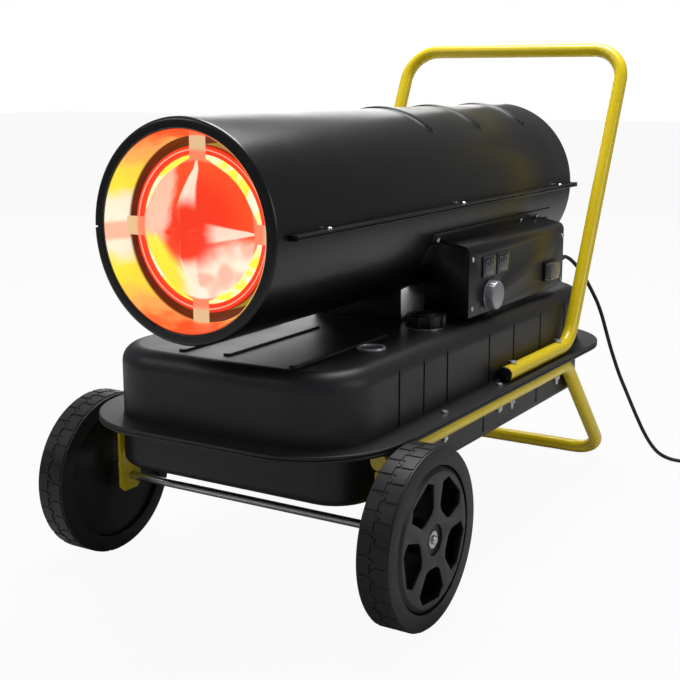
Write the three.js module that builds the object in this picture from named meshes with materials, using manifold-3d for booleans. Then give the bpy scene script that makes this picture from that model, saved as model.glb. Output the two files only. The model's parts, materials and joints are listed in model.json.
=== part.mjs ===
// Forced air heater on two wheels: a horizontal barrel with a burner, a fan and an air pump inside,
// a fuel tank under it, a bent-tube frame and handle, and a control box on the right side.
// Millimetres, +Z up, air outlet towards -Y, controls towards +X. Heights count from the floor.
// Lengths along Y count from the axle, and the whole assembly is centred at the end.

import * as THREE from 'three';
import { mergeVertices } from 'three/addons/utils/BufferGeometryUtils.js';
import Module from 'manifold-3d';

const wasm = await Module();
wasm.setup();

// ---------------------------------------------------------------- driving dimensions

// Clearance between pieces that touch, and between a pin and its bore
const GAP = 0.3;

// How far a cutter starts before a face, and how far it runs past a sheet that it goes through
const PAST = 1;
const THROUGH = 9;

// Wheels and axle
const WHEEL_RADIUS = 125;
const WHEEL_WIDTH = 48;
const WHEEL_TRACK = 548;
const TYRE_INNER_RADIUS = 100;
const TYRE_SHOULDER = 3;
const RIM_DRUM_WALL = 5;
const RIM_DRUM_WIDTH = 40;
const RIM_WEB = 5;
const RIM_BACK = 3;
const RIM_PROUD = 1.5;
const RIM_STEP_RADIUS = 92;
const RIM_OPENING_INNER = 40;
const RIM_OPENING_OUTER = 87;
const RIM_OPENING_HALF_ANGLE = 26;
const RIM_OPENINGS = 5;
const FIRST_OPENING_ANGLE = 48;
const HUB_RADIUS = 24;
const HUB_RECESS_RADIUS = 21;
const HUB_RECESS_DEPTH = 4;
const AXLE_RADIUS = 6;
const AXLE_END = 3;
const PIN_RADIUS = 1.5;
const PIN_LENGTH = 34;
const PIN_EYE_RADIUS = 5;
const PIN_TILT = 25;
const PIN_OFFSET = 12;

// Frame and handle tubes
const TUBE_RADIUS = 12.5;
const TUBE_WALL = 1.5;
const TUBE_X = 224;
const BRACKET_HEIGHT = 100;
const BRACKET_THICKNESS = 5;
const BRACKET_FRONT = -25;
const BRACKET_BACK = 19;
const BRACKET_DROP = 21;
const BRACKET_CHAMFER = 8;
const RAIL_FRONT = -20;
const RAIL_BEND_Y = 650;
const RAIL_BEND_RADIUS = 50;
const FOOT_Y = 857;
const FOOT_CORNER_RADIUS = 55;
const HANDLE_FRONT = 386;
const HANDLE_BEND_Y = 658.5;
const HANDLE_BEND_RADIUS = 55;
const HANDLE_TOP_Y = 897.5;
const HANDLE_RISE = 513;
const HANDLE_CORNER_RADIUS = 60;
const END_CAP_HEAD = 3;
const END_CAP_STEM = 18;
const BOLT_RADIUS = 3;
const BOLT_HEAD_RADIUS = 6.5;
const BOLT_HEAD_HEIGHT = 4;
const BOLT_NUT_RADIUS = 6;
const BOLT_NUT_HEIGHT = 5;
const BOLT_TAIL = 9;
const HANDLE_BOLTS_Y = [415, 608];

// Fuel tank
const FLANGE_HALF_WIDTH = 244.5;
const FLANGE_FRONT = -132.5;
const FLANGE_BACK = 874;
const FLANGE_CORNER = 146;
const FLANGE_SHEET = 4.9;
const TANK_UPPER_HEIGHT = 99;
const TANK_UPPER_HALF_WIDTH = 206.3;
const TANK_UPPER_FRONT = -91;
const TANK_UPPER_BACK = 833;
const TANK_UPPER_CORNER = 98.5;
const TANK_SHOULDER = 25;
const TANK_LOWER_DEPTH = 75;
const TANK_LOWER_FRONT = -66;
const TANK_LOWER_BACK = 785;
const TANK_LOWER_CORNER = 64;
const TANK_LOWER_SHOULDER = 14;
const TANK_WALL = 4;
const SHOULDER_INSET = 0.5;
const SIDE_GROOVES_Y = [68, 141, 215, 362, 457, 569, 680];
const LOWER_GROOVES_Y = [335, 549];
const GROOVE_WIDTH = 5;
const GROOVE_DEPTH = 1.5;
const GROOVE_REACH = 22;
const TOP_RIB_HEIGHT = 3;
const TOP_RIB_WIDTH = 12;
const TOP_RIBS = [
  { x: -75, front: -55, back: 190 },
  { x: -5, front: -45, back: 190 },
  { x: 113, front: -58, back: 195 },
];
const FILLER_X = 138;
const FILLER_Y = 275;
const NECK_RADIUS = 23.7;
const NECK_WALL = 2.2;
const NECK_FLANGE = 5;
const NECK_RISE = 9;
const NECK_DROP = 14;
const CAP_RADIUS = 29;
const CAP_HEIGHT = 18;
const CAP_WALL = 2.5;
const CAP_LUGS = 8;
const CAP_LUG_WIDTH = 9;
const CAP_LUG_DEPTH = 2.5;
const CAP_LUG_ROOT = 2;
const CAP_DISC_RADIUS = 19;
const CAP_DISC_HEIGHT = 2.5;
const GAUGE_X = 146;
const GAUGE_Y = 95;
const GAUGE_RADIUS = 19.5;
const GAUGE_BODY_RADIUS = 16;
const GAUGE_CUP_RADIUS = 13.5;
const GAUGE_CUP_DEPTH = 9;
const GAUGE_BODY_DEPTH = 20;
const GAUGE_LENS_THICKNESS = 2.5;
const GAUGE_STEM_SIDE = 6;
const GAUGE_PIVOT_DROP = 92;
const GAUGE_PIVOT_RADIUS = 2;
const GAUGE_PIVOT_END = 3;
const NEEDLE_LENGTH = 20;
const NEEDLE_WIDTH = 3;
const NEEDLE_SHEET = 1.5;
const NEEDLE_REST = 45;
const NEEDLE_POST_RADIUS = 1;
const FLOAT_ARM = 130;
const FLOAT_ARM_SHEET = 2;
const FLOAT_ARM_HEIGHT = 3;
const FLOAT_RADIUS = 14;
const FLOAT_LENGTH = 40;
const FLOAT_DROOP = 25;
const DRAIN_X = 120;
const DRAIN_Y = 60;
const DRAIN_RADIUS = 8;
const DRAIN_HEAD_RADIUS = 12;
const DRAIN_HEAD_HEIGHT = 7;

// Barrel, measured from its own axis
const BARREL_RADIUS = 148;
const BARREL_SHEET = 2;
const BARREL_FRONT = -142;
const BARREL_BACK = 845;
const FRONT_BEND = 6;
const BACK_BEND = 8;
const FRONT_OPENING_RADIUS = 132.5;
const BACK_OPENING_RADIUS = 130;
const RIM_LIP = 6;
const RIM_SPLIT = 3;
const SEAM_FLANGE = 13;
const SEAM_FLANGE_SHEET = 3.7;
const SEAM_FLANGE_FRONT = -112;
const SEAM_FLANGE_BACK = 843;
const SHELL_RIBS_Y = [370, 545, 730];
const SHELL_RIB_WIDTH = 16;
const SHELL_RIB_HEIGHT = 3;
const SHELL_RIB_SPAN = 40;
const SADDLE_SHEET = 2.5;
const SADDLE_WIDTH = 160;
const SADDLE_DEPTH = 34;
const SADDLES_Y = { front_support: 300, rear_support: 620 };
const LINER_SHEET = 1.5;
const LINER_RADIUS = 124;
const LINER_NECK = 33;
const LINER_BACK = 420;
const CHAMBER_RADIUS = 110.5;
const CHAMBER_SHEET = 1.5;
const CHAMBER_LIP_RADIUS = 98;
const CHAMBER_BACK = 330;
const CHAMBER_HOLE = 46;
const CHAMBER_TAB = 30;
const DEFLECTOR_FRONT = -104;
const DEFLECTOR_SHEET = 2;
const DEFLECTOR_RADIUS = 88;
const DEFLECTOR_RIM = 10;
const DEFLECTOR_DOME = 36;
const DEFLECTOR_EAR = 10;
const DEFLECTOR_CREASE = 7;
const DEFLECTOR_LEG = 25;
const BURNER_WALL = 3;
const BURNER_LENGTH = 45;
const BURNER_FLANGE = 8;
const BURNER_FRONT = 300;
const NOZZLE_RADIUS = 8;
const NOZZLE_COLLAR = 1.5;
const NOZZLE_LENGTH = 42;
const IGNITER_RADIUS = 5;
const IGNITER_LENGTH = 60;
const IGNITER_OFFSET = 24;
const SENSOR_RADIUS = 7;
const SENSOR_LENGTH = 30;
const SENSOR_WINDOW = 4;
const FAN_FRONT = 470;
const FAN_HUB_RADIUS = 28;
const FAN_HUB_LENGTH = 40;
const FAN_RADIUS = 128;
const FAN_BLADES = 5;
const FAN_BLADE_CHORD = 62;
const FAN_BLADE_SHEET = 3;
const FAN_BLADE_PITCH = 32;
const SHAFT_RADIUS = 5;
const MOTOR_FRONT = 528;
const MOTOR_LENGTH = 115;
const MOTOR_RADIUS = 46;
const PEDESTAL_WIDTH = 70;
const PEDESTAL_LENGTH = 50;
const PEDESTAL_WALL = 6;
const PUMP_RADIUS = 40;
const PUMP_LENGTH = 34;
const PUMP_FLOOR = 8;
const PUMP_CAVITY_RADIUS = 25;
const PUMP_ECCENTRICITY = 3;
const PUMP_COVER = 9;
const ROTOR_RADIUS = 21;
const ROTOR_SLOT = 3;
const ROTOR_SLOT_DEPTH = 10;
const GUARD_WIRE = 2.2;
const GUARD_RINGS = [40, 84];
const GUARD_SPOKES = 3;

// Control box, lengths along Y from the axle and heights from the barrel's axis
const PLATE_BEYOND_BARREL = 39;
const BOX_SHEET = 2.5;
const BOX_FRONT = 323;
const BOX_BACK = 713;
const BOX_ABOVE_TANK = 11;
const BOX_BOTTOM = -169;
const BOX_TOP = -57;
const BOX_TOP_BEND = 12;
const BOX_LAP = 38;
const STRIP_BOTTOM = -52;
const STRIP_TOP = -37;
const TAB_LENGTH = 39;
const TAB_BOTTOM = -95;
const DISPLAY_BOTTOM = -112;
const DISPLAY_HEIGHT = 32;
const DISPLAY_WIDTH = 45;
const DISPLAYS_Y = [372, 424];
const DISPLAY_PROUD = 1.5;
const DISPLAY_BOARD = 2;
const DISPLAY_BOARD_MARGIN = 5;
const DISPLAY_STANDOFF = 5;
const KNOB_Y = 398;
const KNOB_Z = -142;
const KNOB_RADIUS = 23.5;
const KNOB_LENGTH = 17;
const KNOB_FLUTES = 20;
const KNOB_FLUTE_DEPTH = 1.2;
const KNOB_SHAFT_RADIUS = 3;
const THERMOSTAT_SIDE = 30;
const THERMOSTAT_RAISE = 1;
const THERMOSTAT_DEPTH = 24;
const SWITCH_Y = 648;
const SWITCH_Z = -136;
const SWITCH_LENGTH = 48;
const SWITCH_HEIGHT = 34;
const SWITCH_FLANGE = 3;
const SWITCH_BEZEL = 2.7;
const SWITCH_DEPTH = 24;
const SWITCH_WALL = 3.5;
const ROCKER_TILT = 8;
const ROCKER_PIVOT_DEPTH = 3;
const ROCKER_DEPTH = 7;
const SWITCH_FLOOR = 3;
const ROCKER_NOSE = 7.5;
const TRUNNION_RADIUS = 1.5;
const TRANSFORMER = { fromWall: 8, y: 470, width: 45, length: 60, height: 44 };
const BOARD = { behindPlate: 16, y: 500, thickness: 2, length: 105, height: 80 };

// Mains cord: its route where it isn't coiled, from the gland to the coil
const GLAND_FROM_PLATE = 11;
const GLAND_HEIGHT = -125;
const GLAND_FLANGE_RADIUS = 8.5;
const GLAND_FLANGE = 4.5;
const GLAND_STEM_RADIUS = 6;
const GLAND_STEM = 8;
const GLAND_TAPER = 24;
const GLAND_TIP_RADIUS = 4.8;
const CORD_STRAIGHT = 5;
const CORD_RADIUS = 3.5;
const CORD_ROUTE = [
  [176.3, 755, 401], [177.3, 761, 399], [179.5, 767, 396], [183.8, 775.5, 389], [189, 783.5, 380],
  [194.5, 791, 369.5], [201, 798, 355.5], [211, 806, 333], [221, 811, 311], [229, 816, 286.5],
  [236, 820.5, 260], [243, 827, 230.5], [251, 835, 199.5], [260, 844, 168], [270, 854, 138], [280, 863, 109],
  [291, 871, 80], [302, 878, 54], [315, 884, 31], [330, 888, 14.5], [348, 891, 6.2], [367, 892.5, 4],
  [390, 893.3, 4.4], [415, 893.5, 4.9],
];
const COIL_X = 455;
const COIL_Y = 845;
const COIL_RADIUS = 48.5;
const COIL_PITCH = 7.6;
const COIL_TURNS = 5.25;
const COIL_SAMPLES = 1500;
const COIL_APART = 0.4;
const COIL_CLIMB_TURNS = 0.5;
const COIL_LEAD = 9;
const COIL_LEAD_TURNS = 0.25;
const TIE_SHEET = 0.9;
const TIE_SLACK = 3 * GAP;
const TIE_WIDTH = 9;
const TIE_ANGLE = 225;
const PLUG_RADIUS = 18;
const PLUG_LENGTH = 34;
const PLUG_SLEEVE = 22;
const PLUG_SLEEVE_RADIUS = 6.5;
const PLUG_PIN_RADIUS = 2.4;
const PLUG_PIN_LENGTH = 19;
const PLUG_PIN_SPACING = 19;

// Facets: sides of round pieces, large and small, and steps of a bend
const SIDES_LARGE = 32;
const SIDES_MIDDLE = 16;
const SIDES_SMALL = 10;
const SIDES_TUBE = 10;
const SIDES_BORE = 6;
const SIDES_CORD = 8;
const SIDES_COIL = 6;
const STEPS_BEND = 4;
const STEPS_COIL_TURN = 20;
const STEPS_CORNER = 4;
const CORD_STEP = 3;
const QUARTER_TURN = 90;

// ---------------------------------------------------------------- derived places

const AXLE_Z = WHEEL_RADIUS;
const RAIL_Z = AXLE_Z + BRACKET_HEIGHT;
const FLANGE_BOTTOM = RAIL_Z + TUBE_RADIUS + GAP;
const LOWER_FLANGE_TOP = FLANGE_BOTTOM + FLANGE_SHEET;
const UPPER_FLANGE_BOTTOM = LOWER_FLANGE_TOP + GAP;
const FLANGE_TOP = UPPER_FLANGE_BOTTOM + FLANGE_SHEET;
const RUN_Z = FLANGE_TOP + GAP + TUBE_RADIUS;
const TANK_LOWER_HALF_WIDTH = TUBE_X - TUBE_RADIUS - GAP;
const TANK_TOP = FLANGE_TOP + TANK_UPPER_HEIGHT;
const TANK_BOTTOM = FLANGE_BOTTOM - TANK_LOWER_DEPTH;
const AXIS_ABOVE_TANK = BOX_ABOVE_TANK - BOX_BOTTOM;
const AXIS_Z = TANK_TOP + AXIS_ABOVE_TANK;
const SUPPORT_HEIGHT = AXIS_ABOVE_TANK - BARREL_RADIUS;
const BARREL_BORE = BARREL_RADIUS - BARREL_SHEET;
const HANDLE_BACK = HANDLE_TOP_Y + TUBE_RADIUS;
const CENTRE_Y = (BARREL_FRONT + HANDLE_BACK) / 2;
const GLAND_Z = AXIS_Z + GLAND_HEIGHT;
const CHAMBER_FRONT = DEFLECTOR_FRONT + DEFLECTOR_SHEET + GAP;
const PLATE_X = BARREL_RADIUS + PLATE_BEYOND_BARREL;
const PLATE_INNER = PLATE_X - BOX_SHEET;
const BOX_INNER_X = BARREL_RADIUS - BOX_LAP;
const GLAND_X = PLATE_X - GLAND_FROM_PLATE;
const COIL_FLOOR_Z = TIE_SHEET + 2 * GAP + CORD_RADIUS;

// ---------------------------------------------------------------- solids

const radians = THREE.MathUtils.degToRad;

// A closed geometry becomes a solid: shared corners merged, slivers dropped, faces out
function solid(geometry) {
  const bare = geometry.clone();
  bare.deleteAttribute('normal');
  bare.deleteAttribute('uv');
  const merged = mergeVertices(bare, 1e-4);
  const index = merged.index.array;
  const corners = [];
  for (let i = 0; i < index.length; i += 3) {
    const [a, b, c] = [index[i], index[i + 1], index[i + 2]];
    if (a !== b && b !== c && c !== a) corners.push(a, b, c);
  }
  const build = (triangles) => new wasm.Manifold(new wasm.Mesh({
    numProp: 3,
    vertProperties: Float32Array.from(merged.attributes.position.array),
    triVerts: Uint32Array.from(triangles),
  }));
  const first = build(corners);
  return first.volume() > 0 ? first : build(corners.reverse());
}

function geometryOf(manifold) {
  const mesh = manifold.getMesh();
  const geometry = new THREE.BufferGeometry();
  geometry.setAttribute('position', new THREE.BufferAttribute(mesh.vertProperties, 3));
  geometry.setIndex(new THREE.BufferAttribute(mesh.triVerts, 1));
  const flat = geometry.toNonIndexed();
  flat.computeVertexNormals();
  return flat;
}

const join = (...parts) => parts.reduce((whole, part) => whole.add(part));
const cut = (whole, ...tools) => tools.reduce((rest, tool) => rest.subtract(tool), whole);
const common = (...parts) => parts.reduce((rest, part) => rest.intersect(part));

function box([x0, x1], [y0, y1], [z0, z1]) {
  const geometry = new THREE.BoxGeometry(x1 - x0, y1 - y0, z1 - z0);
  return solid(geometry.translate((x0 + x1) / 2, (y0 + y1) / 2, (z0 + z1) / 2));
}

// Turns a geometry made along +Y so that it lies along the named axis
function along(geometry, axis) {
  if (axis === 'x') return geometry.rotateZ(-Math.PI / 2);
  if (axis === 'z') return geometry.rotateX(Math.PI / 2);
  return geometry;
}

// A round bar along an axis, from one end to the other, about the centre given in the other two axes
function rod(axis, radius, [from, to], [u, v] = [0, 0], sides = SIDES_SMALL) {
  const geometry = along(new THREE.CylinderGeometry(radius, radius, to - from, sides), axis);
  const middle = (from + to) / 2;
  if (axis === 'x') geometry.translate(middle, u, v);
  if (axis === 'y') geometry.translate(u, middle, v);
  if (axis === 'z') geometry.translate(u, v, middle);
  return solid(geometry);
}

// Points of radius and length turned about +Y; a profile off the axis closes on itself
function turned(profile, sides) {
  const points = profile.map(([radius, length]) => new THREE.Vector2(radius, length));
  const onAxis = points[0].x === 0 && points.at(-1).x === 0;
  if (!onAxis) points.push(points[0].clone());
  return new THREE.LatheGeometry(points, sides);
}

const lathe = (profile, sides = SIDES_LARGE) => solid(turned(profile, sides));

function arc(u, v, radius, fromDegrees, toDegrees, steps) {
  return Array.from({ length: steps + 1 }, (_, i) => {
    const angle = radians(fromDegrees + ((toDegrees - fromDegrees) * i) / steps);
    return [u + radius * Math.cos(angle), v + radius * Math.sin(angle)];
  });
}

// An outline extruded along an axis: the outline's two coordinates are the other two axes in order
function prism(axis, outline, [from, to]) {
  const shape = outline instanceof THREE.Shape
    ? outline
    : new THREE.Shape(outline.map(([u, v]) => new THREE.Vector2(u, v)));
  const geometry = new THREE.ExtrudeGeometry(shape, {
    depth: to - from,
    bevelEnabled: false,
    curveSegments: STEPS_CORNER,
  });
  const x = new THREE.Vector3(1, 0, 0);
  const y = new THREE.Vector3(0, 1, 0);
  const z = new THREE.Vector3(0, 0, 1);
  if (axis === 'x') geometry.applyMatrix4(new THREE.Matrix4().makeBasis(y, z, x)).translate(from, 0, 0);
  if (axis === 'y') {
    geometry.applyMatrix4(new THREE.Matrix4().makeBasis(x, z, y.clone().negate())).translate(0, to, 0);
  }
  if (axis === 'z') geometry.translate(0, 0, from);
  return solid(geometry);
}

function roundedOutline(halfWidth, front, back, corner) {
  const shape = new THREE.Shape();
  shape.absarc(halfWidth - corner, front + corner, corner, -Math.PI / 2, 0, false);
  shape.absarc(halfWidth - corner, back - corner, corner, 0, Math.PI / 2, false);
  shape.absarc(corner - halfWidth, back - corner, corner, Math.PI / 2, Math.PI, false);
  shape.absarc(corner - halfWidth, front + corner, corner, Math.PI, 1.5 * Math.PI, false);
  shape.closePath();
  return shape;
}

// A rounded slab with a round shoulder at its top, standing on its base height
function crownedSlab(halfWidth, front, back, corner, base, top, shoulder) {
  const geometry = new THREE.ExtrudeGeometry(roundedOutline(halfWidth, front, back, corner), {
    depth: top - base - shoulder,
    bevelThickness: shoulder,
    bevelSize: shoulder,
    bevelOffset: -shoulder,
    bevelSegments: 2,
    curveSegments: STEPS_CORNER,
  });
  const room = [front - corner, back + corner];
  const wide = [-halfWidth - corner, halfWidth + corner];
  return common(solid(geometry.translate(0, 0, base)), box(wide, room, [base, top + shoulder]));
}

// Places a solid made at the origin
const moved = (part, x, y, z) => part.translate([x, y, z]);
const flippedZ = (part) => part.mirror([0, 0, 1]);
const flippedX = (part) => part.mirror([1, 0, 0]);

// ---------------------------------------------------------------- bent tubes

// A path through chosen sections, so that a tube has them only where it bends
class SectionPath extends THREE.Curve {
  constructor(points) {
    super();
    this.points = points;
  }

  getPoint(t) {
    const place = t * (this.points.length - 1);
    const index = Math.min(Math.floor(place), this.points.length - 2);
    return this.points[index].clone().lerp(this.points[index + 1], place - index);
  }

  getTangent(t) {
    const last = this.points.length - 1;
    const index = Math.round(t * last);
    const here = this.points[index];
    const before = here.clone().sub(this.points[Math.max(index - 1, 0)]).normalize();
    const after = this.points[Math.min(index + 1, last)].clone().sub(here).normalize();
    return before.add(after).normalize();
  }

  getUtoTmapping(u) {
    return u;
  }
}

// Corner points joined by straights, each corner rounded by an arc
function rounded(corners, radii) {
  const points = [corners[0]];
  for (let i = 1; i < corners.length - 1; i += 1) {
    const corner = corners[i];
    const back = corners[i - 1].clone().sub(corner).normalize();
    const ahead = corners[i + 1].clone().sub(corner).normalize();
    const half = back.angleTo(ahead) / 2;
    const radius = radii[i - 1];
    const centre = back.clone().add(ahead).normalize().multiplyScalar(radius / Math.sin(half)).add(corner);
    const start = back.clone().multiplyScalar(radius / Math.tan(half)).add(corner).sub(centre);
    const axis = back.clone().cross(ahead).normalize().negate();
    for (let k = 0; k <= STEPS_BEND; k += 1) {
      const turn = ((Math.PI - 2 * half) * k) / STEPS_BEND;
      points.push(start.clone().applyAxisAngle(axis, turn).add(centre));
    }
  }
  points.push(corners.at(-1));
  return points;
}

function tube(points, radius, sides, turn = 0) {
  const section = arc(0, 0, radius, turn, turn + 360 - 360 / sides, sides - 1);
  const shape = new THREE.Shape(section.map(([u, v]) => new THREE.Vector2(u, v)));
  const settings = { steps: points.length - 1, extrudePath: new SectionPath(points) };
  return solid(new THREE.ExtrudeGeometry(shape, settings));
}

// A tube with its bore, open at both ends
function pipe(points, turn) {
  const first = points[0].clone().sub(points[1]).normalize().add(points[0]);
  const last = points.at(-1).clone().sub(points.at(-2)).normalize().add(points.at(-1));
  const bore = [first, ...points.slice(1, -1), last];
  const outside = tube(points, TUBE_RADIUS, SIDES_TUBE, turn);
  return cut(outside, tube(bore, TUBE_RADIUS - TUBE_WALL, SIDES_BORE, turn));
}

// ---------------------------------------------------------------- finishes

const paint = (color, roughness, metalness = 0) => ({ color, roughness, metalness });
const BLACK_PAINT = paint('#25272a', 0.45);
const GREY_PAINT = paint('#565b60', 0.5);
const YELLOW_PAINT = paint('#e3c020', 0.35);
const STEEL = paint('#b9bcc0', 0.3, 0.9);
const HOT_STEEL = paint('#8a5a42', 0.55, 0.8);
const ZINC = paint('#c8cbce', 0.35, 0.85);
const CAST_ALUMINIUM = paint('#a9acae', 0.5, 0.8);
const BRASS = paint('#c29a4a', 0.35, 0.9);
const BLACK_PLASTIC = paint('#1c1d1f', 0.55);
const RUBBER = paint('#1f1f20', 0.85);
const CORD_RUBBER = paint('#18191b', 0.7);
const CERAMIC = paint('#ece8df', 0.4);
const CLEAR = paint('#cfd6d8', 0.1);
const BOARD_GREEN = paint('#2f5b3c', 0.6);
const RED_PLASTIC = paint('#b3342a', 0.5);
const SILVER_PLASTIC = paint('#c3c6c9', 0.3, 0.6);

function piece(name, manifold, finish) {
  const mesh = new THREE.Mesh(geometryOf(manifold), new THREE.MeshStandardMaterial(finish));
  mesh.name = name;
  return mesh;
}

function placed(group, meshes) {
  meshes.forEach((mesh) => group.add(mesh));
  return group;
}

// ---------------------------------------------------------------- barrel

// Both rims turn in, then back: outer face, front face, lip, and the same one sheet further in
function barrelProfile() {
  const s = BARREL_SHEET;
  const frontBend = [BARREL_RADIUS - FRONT_BEND, BARREL_FRONT + FRONT_BEND];
  const backBend = [BARREL_RADIUS - BACK_BEND, BARREL_BACK - BACK_BEND];
  return [
    [BACK_OPENING_RADIUS, BARREL_BACK - RIM_LIP],
    [BACK_OPENING_RADIUS, BARREL_BACK],
    ...arc(...backBend, BACK_BEND, 90, 0, 2),
    ...arc(...frontBend, FRONT_BEND, 0, -90, 2),
    [FRONT_OPENING_RADIUS, BARREL_FRONT],
    [FRONT_OPENING_RADIUS, BARREL_FRONT + RIM_LIP],
    [FRONT_OPENING_RADIUS + s, BARREL_FRONT + RIM_LIP],
    [FRONT_OPENING_RADIUS + s, BARREL_FRONT + s],
    ...arc(...frontBend, FRONT_BEND - s, -90, 0, 2),
    ...arc(...backBend, BACK_BEND - s, 0, 90, 2),
    [BACK_OPENING_RADIUS + s, BARREL_BACK - s],
    [BACK_OPENING_RADIUS + s, BARREL_BACK - RIM_LIP],
  ];
}

// The half of the barrel below its axis, with a flange along each side
function halfShell(barrel) {
  const half = common(barrel, box([-200, 200], [BARREL_FRONT - 1, BARREL_BACK + 1], [-200, -GAP / 2]));
  const sheet = [-GAP / 2 - SEAM_FLANGE_SHEET, -GAP / 2];
  const run = [SEAM_FLANGE_FRONT, SEAM_FLANGE_BACK];
  const right = box([BARREL_RADIUS - 1, BARREL_RADIUS + SEAM_FLANGE], run, sheet);
  const split = [-RIM_SPLIT / 2, RIM_SPLIT / 2];
  const frontSplit = box([-200, 200], [BARREL_FRONT - 1, BARREL_FRONT + RIM_LIP], split);
  const backSplit = box([-200, 200], [BARREL_BACK - RIM_LIP, BARREL_BACK + 1], split);
  return join(cut(half, frontSplit, backSplit), right, flippedX(right));
}

function shellRib(y) {
  const half = SHELL_RIB_WIDTH / 2;
  const foot = BARREL_RADIUS - 1;
  const crest = BARREL_RADIUS + SHELL_RIB_HEIGHT;
  const profile = [[foot, y - half], [crest, y - half / 2], [crest, y + half / 2], [foot, y + half]];
  const above = BARREL_RADIUS * Math.cos(radians(SHELL_RIB_SPAN));
  return common(lathe(profile), box([-200, 200], [y - half - 1, y + half + 1], [above, 200]));
}

function linerProfile() {
  const outer = FRONT_OPENING_RADIUS - GAP;
  const front = BARREL_FRONT + SEAM_FLANGE_SHEET;
  const neck = front + LINER_NECK;
  const wall = LINER_SHEET;
  return [
    [outer, front], [LINER_RADIUS + wall, neck], [LINER_RADIUS + wall, LINER_BACK],
    [LINER_RADIUS, LINER_BACK], [LINER_RADIUS, neck], [outer - wall, front],
  ];
}

// A drum with a turned-in front lip, and a rear plate on four tabs that reach the liner
function chamber() {
  const wall = CHAMBER_SHEET;
  const drum = lathe([
    [CHAMBER_LIP_RADIUS, CHAMBER_FRONT], [CHAMBER_RADIUS, CHAMBER_FRONT],
    [CHAMBER_RADIUS, CHAMBER_BACK], [CHAMBER_HOLE, CHAMBER_BACK],
    [CHAMBER_HOLE, CHAMBER_BACK - wall], [CHAMBER_RADIUS - wall, CHAMBER_BACK - wall],
    [CHAMBER_RADIUS - wall, CHAMBER_FRONT + wall], [CHAMBER_LIP_RADIUS, CHAMBER_FRONT + wall],
  ]);
  const plate = [CHAMBER_BACK - wall, CHAMBER_BACK];
  const reach = LINER_RADIUS + 5;
  const half = CHAMBER_TAB / 2;
  const bars = join(
    box([-reach, reach], plate, [-half, half]),
    box([-half, half], plate, [-reach, reach]),
  );
  const run = [CHAMBER_BACK - THROUGH, CHAMBER_BACK + THROUGH];
  const tabs = common(cut(bars, rod('y', CHAMBER_RADIUS - wall, run)),
    rod('y', LINER_RADIUS - GAP, run, [0, 0], SIDES_LARGE));
  return join(drum, tabs);
}

// Nearness of an angle to one of the four legs, from 0 between them to 1 on a leg
const legNearness = (angle) => Math.exp(-((Math.sin(2 * angle) / 0.42) ** 2));

// The deflector's front face over radius share and angle: a dome towards the front with four creases
function deflectorPoint(share, angle, depth) {
  const near = legNearness(angle);
  const reach = DEFLECTOR_RADIUS + DEFLECTOR_EAR * near;
  const flat = 1 - DEFLECTOR_RIM / DEFLECTOR_RADIUS;
  const inner = Math.min(share / flat, 1);
  const dome = DEFLECTOR_DOME * Math.cos((inner * Math.PI) / 2) ** 1.2;
  const crease = DEFLECTOR_CREASE * near * Math.sin(inner * Math.PI);
  const radius = share * reach;
  return [radius * Math.cos(angle), DEFLECTOR_FRONT - dome - crease + depth, radius * Math.sin(angle)];
}

function deflector() {
  const sectors = SIDES_LARGE;
  const rings = 6;
  const positions = [];
  for (const depth of [0, DEFLECTOR_SHEET]) {
    positions.push(...deflectorPoint(0, 0, depth));
    for (let ring = 1; ring <= rings; ring += 1) {
      for (let k = 0; k < sectors; k += 1) {
        positions.push(...deflectorPoint(ring / rings, (2 * Math.PI * k) / sectors, depth));
      }
    }
  }
  const layer = 1 + rings * sectors;
  const at = (side, ring, k) => side * layer + 1 + (ring - 1) * sectors + (k % sectors);
  const index = [];
  for (let k = 0; k < sectors; k += 1) {
    index.push(0, at(0, 1, k), at(0, 1, k + 1), layer, at(1, 1, k + 1), at(1, 1, k));
    for (let ring = 1; ring < rings; ring += 1) {
      const front = [at(0, ring, k), at(0, ring + 1, k), at(0, ring + 1, k + 1), at(0, ring, k + 1)];
      const back = [at(1, ring, k), at(1, ring + 1, k), at(1, ring + 1, k + 1), at(1, ring, k + 1)];
      index.push(front[0], front[1], front[2], front[0], front[2], front[3]);
      index.push(back[0], back[2], back[1], back[0], back[3], back[2]);
    }
    const [a, b] = [at(0, rings, k), at(0, rings, k + 1)];
    const [c, d] = [at(1, rings, k), at(1, rings, k + 1)];
    index.push(a, c, b, b, c, d);
  }
  const geometry = new THREE.BufferGeometry();
  geometry.setAttribute('position', new THREE.Float32BufferAttribute(positions, 3));
  geometry.setIndex(index);
  const sheet = [DEFLECTOR_FRONT, DEFLECTOR_FRONT + DEFLECTOR_SHEET];
  const half = DEFLECTOR_LEG / 2;
  const reach = LINER_RADIUS + 5;
  const root = DEFLECTOR_RADIUS - DEFLECTOR_RIM / 2;
  const bars = join(box([-reach, reach], sheet, [-half, half]), box([-half, half], sheet, [-reach, reach]));
  const legs = common(cut(bars, rod('y', root, [sheet[0] - 1, sheet[1] + 1])),
    rod('y', LINER_RADIUS - GAP, [sheet[0] - 1, sheet[1] + 1], [0, 0], SIDES_LARGE));
  return join(solid(geometry), legs);
}

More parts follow.
